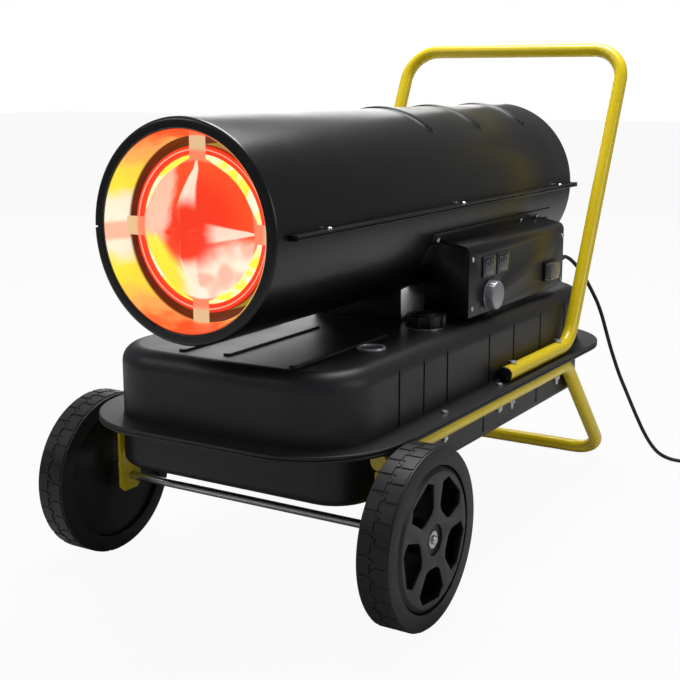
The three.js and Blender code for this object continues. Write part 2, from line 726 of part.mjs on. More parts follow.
function burnerHead() {
  const outer = CHAMBER_HOLE - GAP;
  const inner = outer - BURNER_WALL;
  const back = BURNER_FRONT + BURNER_LENGTH;
  const seat = CHAMBER_BACK + GAP;
  const cup = lathe([
    [0, back - BURNER_WALL], [inner, back - BURNER_WALL], [inner, BURNER_FRONT], [outer, BURNER_FRONT],
    [outer, seat], [outer + BURNER_FLANGE, seat], [outer + BURNER_FLANGE, seat + BURNER_WALL],
    [outer, seat + BURNER_WALL], [outer, back], [0, back],
  ], SIDES_MIDDLE);
  const wall = [back - BURNER_WALL - 1, back + 1];
  return cut(
    cup,
    rod('y', NOZZLE_RADIUS + GAP, wall),
    rod('y', IGNITER_RADIUS + GAP, wall, [IGNITER_OFFSET, 0]),
    rod('y', SENSOR_WINDOW, wall, [-IGNITER_OFFSET, 0]),
  );
}

function nozzle() {
  const back = BURNER_FRONT + BURNER_LENGTH + GAP;
  const tip = back - NOZZLE_LENGTH / 2;
  const collar = NOZZLE_RADIUS * NOZZLE_COLLAR;
  return lathe([
    [0, tip], [NOZZLE_RADIUS / 3, tip], [NOZZLE_RADIUS, tip + NOZZLE_RADIUS], [NOZZLE_RADIUS, back],
    [collar, back], [collar, back + NOZZLE_RADIUS], [NOZZLE_RADIUS, back + NOZZLE_RADIUS],
    [NOZZLE_RADIUS, tip + NOZZLE_LENGTH], [0, tip + NOZZLE_LENGTH],
  ], SIDES_SMALL);
}

function igniter() {
  const back = BURNER_FRONT + BURNER_LENGTH + GAP;
  const collar = IGNITER_RADIUS * 1.5;
  const body = lathe([
    [0, back - IGNITER_LENGTH / 2], [IGNITER_RADIUS, back - IGNITER_LENGTH / 2], [IGNITER_RADIUS, back],
    [collar, back], [collar, back + IGNITER_RADIUS], [IGNITER_RADIUS, back + IGNITER_RADIUS],
    [IGNITER_RADIUS, back + IGNITER_LENGTH / 2], [0, back + IGNITER_LENGTH / 2],
  ], SIDES_SMALL);
  return moved(body, IGNITER_OFFSET, 0, 0);
}

function fan() {
  const hub = lathe([
    [SHAFT_RADIUS + GAP, FAN_FRONT], [FAN_HUB_RADIUS - 6, FAN_FRONT], [FAN_HUB_RADIUS, FAN_FRONT + 8],
    [FAN_HUB_RADIUS, FAN_FRONT + FAN_HUB_LENGTH], [SHAFT_RADIUS + GAP, FAN_FRONT + FAN_HUB_LENGTH],
  ], SIDES_MIDDLE);
  const root = FAN_HUB_RADIUS - 4;
  const blade = box(
    [-FAN_BLADE_CHORD / 2, FAN_BLADE_CHORD / 2],
    [-FAN_BLADE_SHEET / 2, FAN_BLADE_SHEET / 2],
    [root, FAN_RADIUS + 5],
  ).rotate([0, 0, FAN_BLADE_PITCH]);
  const middle = FAN_FRONT + FAN_HUB_LENGTH / 2;
  const seated = moved(blade, 0, middle, 0);
  const blades = Array.from({ length: FAN_BLADES }, (_, k) => (
    seated.rotate([0, (360 * k) / FAN_BLADES, 0])
  ));
  const sweep = rod('y', FAN_RADIUS, [middle - 60, middle + 60], [0, 0], SIDES_LARGE);
  return join(hub, ...blades.map((each) => common(each, sweep)));
}

const motorBack = MOTOR_FRONT + MOTOR_LENGTH;
const pumpFront = motorBack + GAP;
const pumpBack = pumpFront + PUMP_LENGTH;

function motor() {
  const bevel = 8;
  const bore = SHAFT_RADIUS + GAP;
  return lathe([
    [bore, MOTOR_FRONT], [MOTOR_RADIUS - bevel, MOTOR_FRONT], [MOTOR_RADIUS, MOTOR_FRONT + bevel],
    [MOTOR_RADIUS, motorBack - bevel], [MOTOR_RADIUS - bevel, motorBack], [bore, motorBack],
  ], SIDES_MIDDLE);
}

// A pedestal between the motor and the lower shell, open from front to back
function pedestal() {
  const middle = MOTOR_FRONT + MOTOR_LENGTH / 2;
  const run = [middle - PEDESTAL_LENGTH / 2, middle + PEDESTAL_LENGTH / 2];
  const half = PEDESTAL_WIDTH / 2;
  const block = box([-half, half], run, [-BARREL_RADIUS, -MOTOR_RADIUS / 2]);
  const through = [run[0] - 1, run[1] + 1];
  const round = rod('y', BARREL_BORE - GAP, through, [0, 0], SIDES_LARGE);
  const window = box(
    [-half + PEDESTAL_WALL, half - PEDESTAL_WALL], through,
    [-BARREL_BORE + 2 * PEDESTAL_WALL, -MOTOR_RADIUS - PEDESTAL_WALL],
  );
  return cut(common(block, round), rod('y', MOTOR_RADIUS + GAP, through, [0, 0], SIDES_MIDDLE), window);
}

function pumpHousing() {
  const block = rod('y', PUMP_RADIUS, [pumpFront, pumpBack], [0, 0], SIDES_MIDDLE);
  const depth = [pumpFront + PUMP_FLOOR, pumpBack + PAST];
  const cavity = rod('y', PUMP_CAVITY_RADIUS, depth, [0, PUMP_ECCENTRICITY], SIDES_MIDDLE);
  return cut(block, cavity, rod('y', SHAFT_RADIUS + GAP, [pumpFront - PAST, pumpBack]));
}

function pumpRotor() {
  const run = [pumpFront + PUMP_FLOOR + 2 * GAP, pumpBack - GAP];
  const disc = cut(rod('y', ROTOR_RADIUS, run, [0, 0], SIDES_MIDDLE),
    rod('y', SHAFT_RADIUS + GAP, [run[0] - 1, run[1] + 1]));
  const slots = [0, 90, 180, 270].map((angle) => box(
    [-ROTOR_SLOT / 2, ROTOR_SLOT / 2], [run[0] - 1, run[1] + 1],
    [ROTOR_RADIUS - ROTOR_SLOT_DEPTH, ROTOR_RADIUS + 1],
  ).rotate([0, angle, 0]));
  return cut(disc, ...slots);
}

// Round wires and crossing spokes inside the rear opening
function rearGuard() {
  const middle = BARREL_BACK - RIM_LIP / 2;
  const wire = GUARD_WIRE;
  const outer = BACK_OPENING_RADIUS * Math.cos(Math.PI / SIDES_LARGE) - GAP - wire;
  const hoop = (radius) => lathe([
    [radius - wire, middle - wire], [radius + wire, middle - wire], [radius, middle + wire],
  ], SIDES_MIDDLE);
  const spokes = Array.from({ length: GUARD_SPOKES }, (_, k) => box(
    [-outer, outer], [middle - wire / 2, middle + wire / 2], [-wire, wire],
  ).rotate([0, (180 * k) / GUARD_SPOKES, 0]));
  return join(...[...GUARD_RINGS, outer].map(hoop), ...spokes);
}

// A folded saddle between the tank's top and the barrel: foot, web and a curved seat
function saddle(y) {
  const seat = BARREL_RADIUS + GAP;
  const foot = -BARREL_RADIUS - SUPPORT_HEIGHT + GAP;
  const run = [y, y + SADDLE_DEPTH];
  const wide = [-SADDLE_WIDTH / 2, SADDLE_WIDTH / 2];
  const band = common(
    lathe([[seat, run[0]], [seat + SADDLE_SHEET, run[0]], [seat + SADDLE_SHEET, run[1]], [seat, run[1]]]),
    box(wide, run, [foot, 0]),
  );
  const hollow = rod('y', seat + PAST, [y - PAST, y + THROUGH], [0, 0], SIDES_LARGE);
  const web = cut(box(wide, [y, y + SADDLE_SHEET], [foot, 0]), hollow);
  return join(band, web, box(wide, run, [foot, foot + SADDLE_SHEET]));
}

function barrelGroup() {
  const barrel = lathe(barrelProfile());
  const lower = halfShell(barrel);
  const upper = join(flippedZ(lower), ...SHELL_RIBS_Y.map(shellRib));
  const burnerBack = BURNER_FRONT + BURNER_LENGTH + GAP;
  const sensorRun = [burnerBack, burnerBack + SENSOR_LENGTH];
  const coverRun = [pumpBack + GAP, pumpBack + GAP + PUMP_COVER];
  const group = placed(new THREE.Group(), [
    piece('lower_shell', lower, BLACK_PAINT),
    piece('upper_shell', upper, BLACK_PAINT),
    piece('heat_shield', lathe(linerProfile()), STEEL),
    piece('combustion_chamber', chamber(), HOT_STEEL),
    piece('flame_deflector', deflector(), HOT_STEEL),
    piece('burner_head', burnerHead(), HOT_STEEL),
    piece('spray_nozzle', nozzle(), BRASS),
    piece('igniter', igniter(), CERAMIC),
    piece('flame_sensor', rod('y', SENSOR_RADIUS, sensorRun, [-IGNITER_OFFSET, 0]), BLACK_PLASTIC),
    piece('fan', fan(), CAST_ALUMINIUM),
    piece('motor_shaft', rod('y', SHAFT_RADIUS, [FAN_FRONT - SHAFT_RADIUS, pumpBack - GAP]), STEEL),
    piece('motor_body', motor(), CAST_ALUMINIUM),
    piece('motor_bracket', pedestal(), ZINC),
    piece('pump_housing', pumpHousing(), CAST_ALUMINIUM),
    piece('pump_rotor', pumpRotor(), BLACK_PLASTIC),
    piece('pump_cover', rod('y', PUMP_RADIUS, coverRun, [0, 0], SIDES_MIDDLE), BLACK_PLASTIC),
    piece('rear_guard', rearGuard(), BLACK_PAINT),
    ...Object.entries(SADDLES_Y).map(([name, y]) => piece(name, saddle(y), BLACK_PAINT)),
  ]);
  group.position.z = AXIS_Z;
  return group;
}

// ---------------------------------------------------------------- control box

// A sheet of the barrel's curve lying on the shell, between two heights
function barrelSheet(run, heights) {
  const seat = BARREL_RADIUS + GAP;
  const skin = lathe([
    [seat, run[0]], [seat + BOX_SHEET, run[0]], [seat + BOX_SHEET, run[1]], [seat, run[1]],
  ]);
  return common(skin, box([0, 200], run, heights));
}

const beyondBarrel = (part, run) => cut(part, rod('y', BARREL_RADIUS + GAP, run, [0, 0], SIDES_LARGE));
const boxRun = [BOX_FRONT, BOX_BACK];
const wholeRun = [BOX_FRONT - TAB_LENGTH - 1, BOX_BACK + TAB_LENGTH + 1];

// The box's section over X and Z, set in by so much: up the front, over the bend and in to the shell
function boxSection(inset) {
  const bend = [PLATE_X - BOX_TOP_BEND, BOX_TOP - BOX_TOP_BEND];
  const topAtShell = STRIP_BOTTOM + BOX_SHEET;
  return [
    [PLATE_X - inset, BOX_BOTTOM], ...arc(...bend, BOX_TOP_BEND - inset, 0, 90, 4),
    [BARREL_RADIUS - 10, topAtShell - inset],
  ];
}

// End walls with tabs on the shell, a bottom and a short inner wall, in one folded sheet
function housing() {
  const s = BOX_SHEET;
  const section = boxSection(s + GAP);
  const barrelSide = [[BOX_INNER_X, section.at(-1)[1]], [BOX_INNER_X, BOX_BOTTOM]];
  const outer = prism('y', [...section, ...barrelSide], boxRun);
  const inner = box([BOX_INNER_X + s, PLATE_X + PAST], [BOX_FRONT + s, BOX_BACK - s], [BOX_BOTTOM + s, 0]);
  const shell = beyondBarrel(cut(outer, inner), wholeRun);
  const heights = [TAB_BOTTOM, STRIP_BOTTOM - BOX_SHEET];
  const frontTab = barrelSheet([BOX_FRONT - TAB_LENGTH, BOX_FRONT + s], heights);
  const backTab = barrelSheet([BOX_BACK - s, BOX_BACK + TAB_LENGTH], heights);
  const wall = [BOX_BACK - THROUGH, BOX_BACK + THROUGH];
  const glandHole = rod('y', GLAND_STEM_RADIUS + GAP, wall, [GLAND_X, GLAND_HEIGHT]);
  return cut(join(shell, frontTab, backTab), glandHole);
}

// The front plate bends over at its top, runs in to the shell and turns up along it as a strip
function plate() {
  const sheet = prism('y', [...boxSection(0), ...boxSection(BOX_SHEET).reverse()], boxRun);
  const strip = barrelSheet([BOX_FRONT - TAB_LENGTH, BOX_BACK + TAB_LENGTH], [STRIP_BOTTOM, STRIP_TOP]);
  const through = [PLATE_INNER - THROUGH, PLATE_X + THROUGH];
  const windows = DISPLAYS_Y.map((y) => box(
    through, [y - GAP, y + DISPLAY_WIDTH + GAP],
    [DISPLAY_BOTTOM - GAP, DISPLAY_BOTTOM + DISPLAY_HEIGHT + GAP],
  ));
  const halfLength = SWITCH_LENGTH / 2 - SWITCH_FLANGE + GAP;
  const halfHeight = SWITCH_HEIGHT / 2 - SWITCH_FLANGE + GAP;
  const opening = box(through, [SWITCH_Y - halfLength, SWITCH_Y + halfLength],
    [SWITCH_Z - halfHeight, SWITCH_Z + halfHeight]);
  const shaftHole = rod('x', KNOB_SHAFT_RADIUS + GAP, through, [KNOB_Y, KNOB_Z]);
  return cut(join(beyondBarrel(sheet, wholeRun), strip), ...windows, opening, shaftHole);
}

function displays() {
  const board = [PLATE_INNER - DISPLAY_STANDOFF - DISPLAY_BOARD, PLATE_INNER - DISPLAY_STANDOFF];
  const heights = [DISPLAY_BOTTOM, DISPLAY_BOTTOM + DISPLAY_HEIGHT];
  const margin = DISPLAY_BOARD_MARGIN;
  const base = box(
    board, [DISPLAYS_Y[0] - margin, DISPLAYS_Y.at(-1) + DISPLAY_WIDTH + margin],
    [heights[0] - margin, heights[1] + margin],
  );
  const depth = [board[0], PLATE_X + DISPLAY_PROUD];
  const faces = DISPLAYS_Y.map((y) => box(depth, [y, y + DISPLAY_WIDTH], heights));
  return join(base, ...faces);
}

function knob() {
  const flutes = Array.from({ length: 2 * KNOB_FLUTES }, (_, k) => {
    const radius = KNOB_RADIUS - (k % 2) * KNOB_FLUTE_DEPTH;
    const angle = (Math.PI * k) / KNOB_FLUTES;
    return [KNOB_Y + radius * Math.cos(angle), KNOB_Z + radius * Math.sin(angle)];
  });
  const body = prism('x', flutes, [PLATE_X + GAP, PLATE_X + KNOB_LENGTH]);
  const reach = [PLATE_INNER - THERMOSTAT_DEPTH / 2 + GAP, PLATE_X + PAST];
  const shaft = rod('x', KNOB_SHAFT_RADIUS, reach, [KNOB_Y, KNOB_Z]);
  return join(body, shaft);
}

function thermostat() {
  const half = THERMOSTAT_SIDE / 2;
  const back = PLATE_INNER - GAP - THERMOSTAT_DEPTH;
  const heights = [KNOB_Z - half + THERMOSTAT_RAISE, KNOB_Z + half + THERMOSTAT_RAISE];
  const block = box([back, PLATE_INNER - GAP], [KNOB_Y - half, KNOB_Y + half], heights);
  const depth = [PLATE_INNER - THERMOSTAT_DEPTH / 2, PLATE_X];
  const socket = rod('x', KNOB_SHAFT_RADIUS + GAP, depth, [KNOB_Y, KNOB_Z]);
  return cut(block, socket);
}

const pivotX = PLATE_X + GAP + SWITCH_BEZEL - ROCKER_PIVOT_DEPTH;

function switchFrame() {
  const [length, height] = [SWITCH_LENGTH / 2, SWITCH_HEIGHT / 2];
  const bezel = box([PLATE_X + GAP, PLATE_X + GAP + SWITCH_BEZEL], [SWITCH_Y - length, SWITCH_Y + length],
    [SWITCH_Z - height, SWITCH_Z + height]);
  const body = box([PLATE_X - SWITCH_DEPTH, PLATE_X + GAP + PAST],
    [SWITCH_Y - length + SWITCH_FLANGE, SWITCH_Y + length - SWITCH_FLANGE],
    [SWITCH_Z - height + SWITCH_FLANGE, SWITCH_Z + height - SWITCH_FLANGE]);
  const inset = SWITCH_FLANGE + SWITCH_WALL;
  const pocket = box([pivotX - ROCKER_DEPTH - SWITCH_FLOOR, PLATE_X + THROUGH],
    [SWITCH_Y - length + inset, SWITCH_Y + length - inset],
    [SWITCH_Z - height + inset, SWITCH_Z + height - inset]);
  const bearing = height - SWITCH_FLANGE - 1;
  const bearings = [SWITCH_Z - bearing, SWITCH_Z + bearing];
  const trunnions = rod('z', TRUNNION_RADIUS + GAP, bearings, [pivotX, SWITCH_Y]);
  return cut(join(bezel, body), pocket, trunnions);
}

// A rocker tilted to one of its two positions about its trunnions
function rockerMesh() {
  const inset = SWITCH_FLANGE + SWITCH_WALL + GAP;
  const height = SWITCH_HEIGHT / 2 - inset;
  const tip = SWITCH_LENGTH / 2 - inset - 1.5;
  const body = prism('z', [
    [-ROCKER_DEPTH, -tip / 2], [ROCKER_NOSE / 2, -tip], [ROCKER_NOSE, -tip], [ROCKER_NOSE - 2, 0],
    [ROCKER_NOSE, tip], [ROCKER_NOSE / 2, tip], [-ROCKER_DEPTH, tip / 2],
  ], [-height, height]);
  const bearing = SWITCH_HEIGHT / 2 - SWITCH_FLANGE - 1 - GAP;
  const mesh = piece('rocker', join(body, rod('z', TRUNNION_RADIUS, [-bearing, bearing])), RED_PLASTIC);
  mesh.position.set(pivotX, SWITCH_Y, SWITCH_Z);
  mesh.rotation.z = -radians(ROCKER_TILT);
  return mesh;
}

function controlGroup() {
  const floor = BOX_BOTTOM + BOX_SHEET + GAP;
  const t = { ...TRANSFORMER, x: BOX_INNER_X + TRANSFORMER.fromWall };
  const b = { ...BOARD, x: PLATE_X - BOARD.behindPlate };
  const group = placed(new THREE.Group(), [
    piece('control_housing', housing(), BLACK_PAINT),
    piece('control_plate', plate(), BLACK_PAINT),
    piece('display_module', displays(), BLACK_PLASTIC),
    piece('thermostat_knob', knob(), SILVER_PLASTIC),
    piece('thermostat', thermostat(), BLACK_PLASTIC),
    piece('switch_frame', switchFrame(), BLACK_PLASTIC),
    rockerMesh(),
    piece('transformer', box([t.x, t.x + t.width], [t.y, t.y + t.length], [floor, floor + t.height]), ZINC),
    piece('control_board', box([b.x, b.x + b.thickness], [b.y, b.y + b.length], [floor, floor + b.height]),
      BOARD_GREEN),
  ]);
  group.position.z = AXIS_Z;
  return group;
}

// ---------------------------------------------------------------- tank

const boltHole = (x, y) => rod('z', BOLT_RADIUS + GAP, [0, AXIS_Z], [x, y], SIDES_BORE);
const boltHoles = () => HANDLE_BOLTS_Y.flatMap((y) => [boltHole(TUBE_X, y), boltHole(-TUBE_X, y)]);

// Upright grooves on both sides, from the flange over the shoulder
function sideGrooves(rows, halfWidth, heights) {
  return rows.flatMap((y) => [1, -1].map((side) => {
    const edges = [side * (halfWidth - GROOVE_REACH), side * (halfWidth + 1)].sort((a, b) => a - b);
    return box(edges, [y - GROOVE_WIDTH / 2, y + GROOVE_WIDTH / 2], heights);
  }));
}

function tankHalf(size, wallTop, grooves) {
  const { halfWidth, front, back, corner, base, shoulder } = size;
  const slab = (inset, from = base) => crownedSlab(
    halfWidth - inset, front + inset, back - inset, corner - inset, from, wallTop - inset, shoulder,
  );
  const outer = slab(0);
  const flange = prism('z', roundedOutline(FLANGE_HALF_WIDTH, FLANGE_FRONT, FLANGE_BACK, FLANGE_CORNER),
    [base, base + FLANGE_SHEET]);
  const heights = [base + FLANGE_SHEET, wallTop + 1];
  const cuts = cut(join(...sideGrooves(grooves, halfWidth, heights)), slab(GROOVE_DEPTH));
  const hollow = (inset, top) => prism('z', roundedOutline(
    halfWidth - inset, front + inset, back - inset, corner - inset,
  ), [base - PAST, top]);
  const stepped = join(
    hollow(TANK_WALL, wallTop - shoulder),
    hollow(TANK_WALL + shoulder * SHOULDER_INSET, wallTop - TANK_WALL),
  );
  return cut(join(cut(outer, cuts), flange), stepped);
}

function tankUpper() {
  const half = tankHalf({
    halfWidth: TANK_UPPER_HALF_WIDTH,
    front: TANK_UPPER_FRONT,
    back: TANK_UPPER_BACK,
    corner: TANK_UPPER_CORNER,
    base: UPPER_FLANGE_BOTTOM,
    shoulder: TANK_SHOULDER,
  }, TANK_TOP, SIDE_GROOVES_Y);
  const ribs = TOP_RIBS.map(({ x, front, back }) => box(
    [x - TOP_RIB_WIDTH / 2, x + TOP_RIB_WIDTH / 2],
    [front, back],
    [TANK_TOP - PAST, TANK_TOP + TOP_RIB_HEIGHT],
  ));
  const roof = [TANK_TOP - THROUGH, TANK_TOP + THROUGH];
  const neckHole = rod('z', NECK_RADIUS + GAP, roof, [FILLER_X, FILLER_Y], SIDES_MIDDLE);
  const gaugeHole = rod('z', GAUGE_BODY_RADIUS + GAP, roof, [GAUGE_X, GAUGE_Y], SIDES_MIDDLE);
  return cut(join(half, ...ribs), neckHole, gaugeHole, ...boltHoles());
}

// The lower half is made upside down and mirrored into place
function tankLower() {
  const half = tankHalf({
    halfWidth: TANK_LOWER_HALF_WIDTH,
    front: TANK_LOWER_FRONT,
    back: TANK_LOWER_BACK,
    corner: TANK_LOWER_CORNER,
    base: 0,
    shoulder: TANK_LOWER_SHOULDER,
  }, TANK_LOWER_DEPTH + FLANGE_SHEET, LOWER_GROOVES_Y);
  const hung = moved(flippedZ(half), 0, 0, LOWER_FLANGE_TOP);
  const sheet = [TANK_BOTTOM - THROUGH, TANK_BOTTOM + THROUGH];
  const drain = rod('z', DRAIN_RADIUS + GAP, sheet, [DRAIN_X, DRAIN_Y]);
  return cut(hung, drain, ...boltHoles());
}

function fillerNeck() {
  const seat = TANK_TOP + GAP;
  const inner = NECK_RADIUS - NECK_WALL;
  const neck = along(turned([
    [inner, -NECK_DROP], [NECK_RADIUS, -NECK_DROP], [NECK_RADIUS, 0],
    [NECK_RADIUS + NECK_FLANGE, 0], [NECK_RADIUS + NECK_FLANGE, NECK_WALL],
    [NECK_RADIUS, NECK_WALL], [NECK_RADIUS, NECK_RISE], [inner, NECK_RISE],
  ], SIDES_MIDDLE), 'z');
  return solid(neck.translate(FILLER_X, FILLER_Y, seat));
}

// A cap over the neck, with grip lugs round it and a raised disc on top
function fuelCap() {
  const base = TANK_TOP + GAP + NECK_WALL + GAP;
  const top = base + CAP_HEIGHT;
  const at = [FILLER_X, FILLER_Y];
  const body = rod('z', CAP_RADIUS, [base, top], at, SIDES_MIDDLE);
  const disc = rod('z', CAP_DISC_RADIUS, [top - PAST, top + CAP_DISC_HEIGHT], at, SIDES_MIDDLE);
  const hollow = rod('z', NECK_RADIUS + GAP, [base - PAST, top - CAP_WALL], at, SIDES_MIDDLE);
  const lug = box([CAP_RADIUS - CAP_LUG_ROOT, CAP_RADIUS + CAP_LUG_DEPTH],
    [-CAP_LUG_WIDTH / 2, CAP_LUG_WIDTH / 2], [base, top]);
  const lugs = Array.from({ length: CAP_LUGS }, (_, k) => (
    moved(lug.rotate([0, 0, (360 * k) / CAP_LUGS]), ...at, 0)
  ));
  return cut(join(body, disc, ...lugs), hollow);
}

const pivotZ = TANK_TOP - GAUGE_PIVOT_DROP;

function gaugeBody() {
  const at = [GAUGE_X, GAUGE_Y];
  const rim = [TANK_TOP + GAP, TANK_TOP + GAP + GAUGE_LENS_THICKNESS];
  const flange = rod('z', GAUGE_RADIUS, rim, at, SIDES_MIDDLE);
  const body = rod('z', GAUGE_BODY_RADIUS, [TANK_TOP - GAUGE_BODY_DEPTH, TANK_TOP + PAST], at, SIDES_MIDDLE);
  const bowl = [TANK_TOP - GAUGE_CUP_DEPTH, TANK_TOP + THROUGH];
  const cup = rod('z', GAUGE_CUP_RADIUS + GAP, bowl, at, SIDES_MIDDLE);
  const half = GAUGE_STEM_SIDE / 2;
  const stem = box([GAUGE_X - half, GAUGE_X + half], [GAUGE_Y - half, GAUGE_Y + half],
    [pivotZ - half, TANK_TOP - GAUGE_BODY_DEPTH + PAST]);
  const pin = [GAUGE_X, GAUGE_X + half + FLOAT_ARM_SHEET + GAUGE_PIVOT_END];
  const pivot = rod('x', GAUGE_PIVOT_RADIUS, pin, [GAUGE_Y, pivotZ]);
  const floor = TANK_TOP - GAUGE_CUP_DEPTH;
  const post = rod('z', NEEDLE_POST_RADIUS, [floor - PAST, floor + 2 * NEEDLE_SHEET], at, SIDES_BORE);
  return join(cut(join(flange, body), cup), stem, pivot, post);
}

// The needle points to empty, turned back about its post
function needle() {
  const heights = [0, NEEDLE_SHEET];
  const bar = box([-NEEDLE_WIDTH / 2, NEEDLE_WIDTH / 2], [-NEEDLE_LENGTH / 4, NEEDLE_LENGTH / 2], heights);
  const post = rod('z', NEEDLE_POST_RADIUS + GAP, [-1, NEEDLE_SHEET + 1], [0, 0], SIDES_BORE);
  const mesh = piece('gauge_needle', cut(join(bar, rod('z', NEEDLE_WIDTH, heights)), post), RED_PLASTIC);
  mesh.position.set(GAUGE_X, GAUGE_Y, TANK_TOP - GAUGE_CUP_DEPTH + GAP);
  mesh.rotation.z = -radians(NEEDLE_REST);
  return mesh;
}

// A float on its arm, hanging down from the gauge's pivot as in an empty tank
function floatArm() {
  const side = [GAUGE_STEM_SIDE / 2 + GAP, GAUGE_STEM_SIDE / 2 + GAP + FLOAT_ARM_SHEET];
  const half = FLOAT_ARM_HEIGHT / 2;
  const middle = (side[0] + side[1]) / 2;
  const body = join(
    rod('x', 2 * GAUGE_PIVOT_RADIUS, side),
    box(side, [0, FLOAT_ARM], [-half, half]),
    rod('x', FLOAT_RADIUS, [middle - FLOAT_LENGTH / 2, middle + FLOAT_LENGTH / 2], [FLOAT_ARM, 0]),
  );
  const bore = rod('x', GAUGE_PIVOT_RADIUS + GAP, [side[0] - 1, side[1] + 1]);
  const mesh = piece('float_arm', cut(body, bore), BLACK_PLASTIC);
  mesh.position.set(GAUGE_X, GAUGE_Y, pivotZ);
  mesh.rotation.x = -radians(FLOAT_DROOP);
  return mesh;
}

function drainPlug() {
  const seat = TANK_BOTTOM - GAP;
  const head = rod('z', DRAIN_HEAD_RADIUS, [seat - DRAIN_HEAD_HEIGHT, seat], [DRAIN_X, DRAIN_Y], 6);
  return join(head, rod('z', DRAIN_RADIUS, [seat - 1, TANK_BOTTOM + TANK_WALL + 4], [DRAIN_X, DRAIN_Y]));
}

function tankMeshes() {
  const lens = [TANK_TOP + GAP, TANK_TOP + GAP + GAUGE_LENS_THICKNESS];
  return [
    piece('tank_upper', tankUpper(), GREY_PAINT),
    piece('tank_lower', tankLower(), GREY_PAINT),
    piece('filler_neck', fillerNeck(), ZINC),
    piece('fuel_cap', fuelCap(), BLACK_PLASTIC),
    piece('gauge_body', gaugeBody(), BLACK_PLASTIC),
    piece('gauge_lens', rod('z', GAUGE_CUP_RADIUS, lens, [GAUGE_X, GAUGE_Y], SIDES_MIDDLE), CLEAR),
    needle(),
    floatArm(),
    piece('drain_plug', drainPlug(), ZINC),
  ];
}

// ---------------------------------------------------------------- chassis

const point = (x, y, z) => new THREE.Vector3(x, y, z);

function supportFrame() {
  const side = (x) => [
    point(x, RAIL_FRONT, RAIL_Z), point(x, RAIL_BEND_Y, RAIL_Z), point(x, FOOT_Y, TUBE_RADIUS),
  ];
  const corners = [...side(TUBE_X), ...side(-TUBE_X).reverse()];
  const radii = [RAIL_BEND_RADIUS, FOOT_CORNER_RADIUS, FOOT_CORNER_RADIUS, RAIL_BEND_RADIUS];
  const lean = THREE.MathUtils.radToDeg(Math.atan2(RAIL_Z - TUBE_RADIUS, FOOT_Y - RAIL_BEND_Y));
  const frame = pipe(rounded(corners, radii), lean);
  return cut(frame, ...boltHoles());
}

function handle() {
  const top = RUN_Z + HANDLE_RISE;
  const side = (x) => [
    point(x, HANDLE_FRONT, RUN_Z), point(x, HANDLE_BEND_Y, RUN_Z), point(x, HANDLE_TOP_Y, top),
  ];
  const corners = [...side(TUBE_X), ...side(-TUBE_X).reverse()];
  const radii = [HANDLE_BEND_RADIUS, HANDLE_CORNER_RADIUS, HANDLE_CORNER_RADIUS, HANDLE_BEND_RADIUS];
  return cut(pipe(rounded(corners, radii), 0), ...boltHoles());
}

function axleBracket(side) {
  const [front, back, chamfer] = [BRACKET_FRONT, BRACKET_BACK, BRACKET_CHAMFER];
  const bottom = AXLE_Z - BRACKET_DROP;
  const top = RAIL_Z - TUBE_RADIUS - GAP;
  const outline = [
    [front, top], [front, bottom + chamfer], [front + chamfer, bottom], [back - chamfer, bottom],
    [back, bottom + chamfer], [back, top],
  ];
  const middle = side * TUBE_X;
  const plateBody = prism('x', outline, [middle - BRACKET_THICKNESS / 2, middle + BRACKET_THICKNESS / 2]);
  return cut(plateBody, rod('x', AXLE_RADIUS + GAP, [middle - THROUGH, middle + THROUGH], [0, AXLE_Z]));
}

const pinX = TUBE_X + PIN_OFFSET;
const pinSlot = (radius, length) => rod('z', radius, [-length / 2, length / 2], [0, 0], SIDES_BORE)
  .rotate([PIN_TILT, 0, 0]);

function axle() {
  const end = WHEEL_TRACK / 2 + WHEEL_WIDTH / 2 + AXLE_END;
  const bar = rod('x', AXLE_RADIUS, [-end, end], [0, AXLE_Z]);
  const slots = [pinX, -pinX].map((x) => moved(pinSlot(PIN_RADIUS + GAP, 4 * AXLE_RADIUS), x, 0, AXLE_Z));
  return cut(bar, ...slots);
}

// A split pin: two legs drawn as one round shank, and an eye at its upper end
function splitPin(side) {
  const eye = new THREE.TorusGeometry(PIN_EYE_RADIUS, PIN_RADIUS, SIDES_CORD / 2, SIDES_SMALL);
  const ring = solid(eye.rotateY(Math.PI / 2).translate(0, 0, PIN_LENGTH / 2 + PIN_EYE_RADIUS - 1));
  const tilted = join(pinSlot(PIN_RADIUS, PIN_LENGTH), ring.rotate([PIN_TILT, 0, 0]));
  return moved(tilted, side * pinX, 0, AXLE_Z);
}

function tyre() {
  const half = WHEEL_WIDTH / 2;
  const bead = half - TYRE_SHOULDER / 2;
  return solid(turned([
    [TYRE_INNER_RADIUS, -bead],
    [WHEEL_RADIUS - TYRE_SHOULDER, -half], [WHEEL_RADIUS, -half + TYRE_SHOULDER],
    [WHEEL_RADIUS, half - TYRE_SHOULDER], [WHEEL_RADIUS - TYRE_SHOULDER, half],
    [TYRE_INNER_RADIUS, bead],
  ], SIDES_LARGE).rotateX(Math.PI / 2));
}

// One of the rounded five-sided openings between the spokes, about the wheel's axis
function rimOpening(angle) {
  const half = RIM_OPENING_HALF_ANGLE;
  const at = (radius, degrees) => {
    const turn = radians(angle + degrees);
    return [radius * Math.cos(turn), radius * Math.sin(turn)];
  };
  return prism('z', [
    at(RIM_OPENING_INNER, -half * 0.6), at(RIM_OPENING_INNER + 7, -half * 0.95),
    at(RIM_OPENING_OUTER - 9, -half), at(RIM_OPENING_OUTER, -half * 0.6), at(RIM_OPENING_OUTER, half * 0.6),
    at(RIM_OPENING_OUTER - 9, half), at(RIM_OPENING_INNER + 7, half * 0.95),
    at(RIM_OPENING_INNER, half * 0.6),
  ], [0, WHEEL_WIDTH]);
}

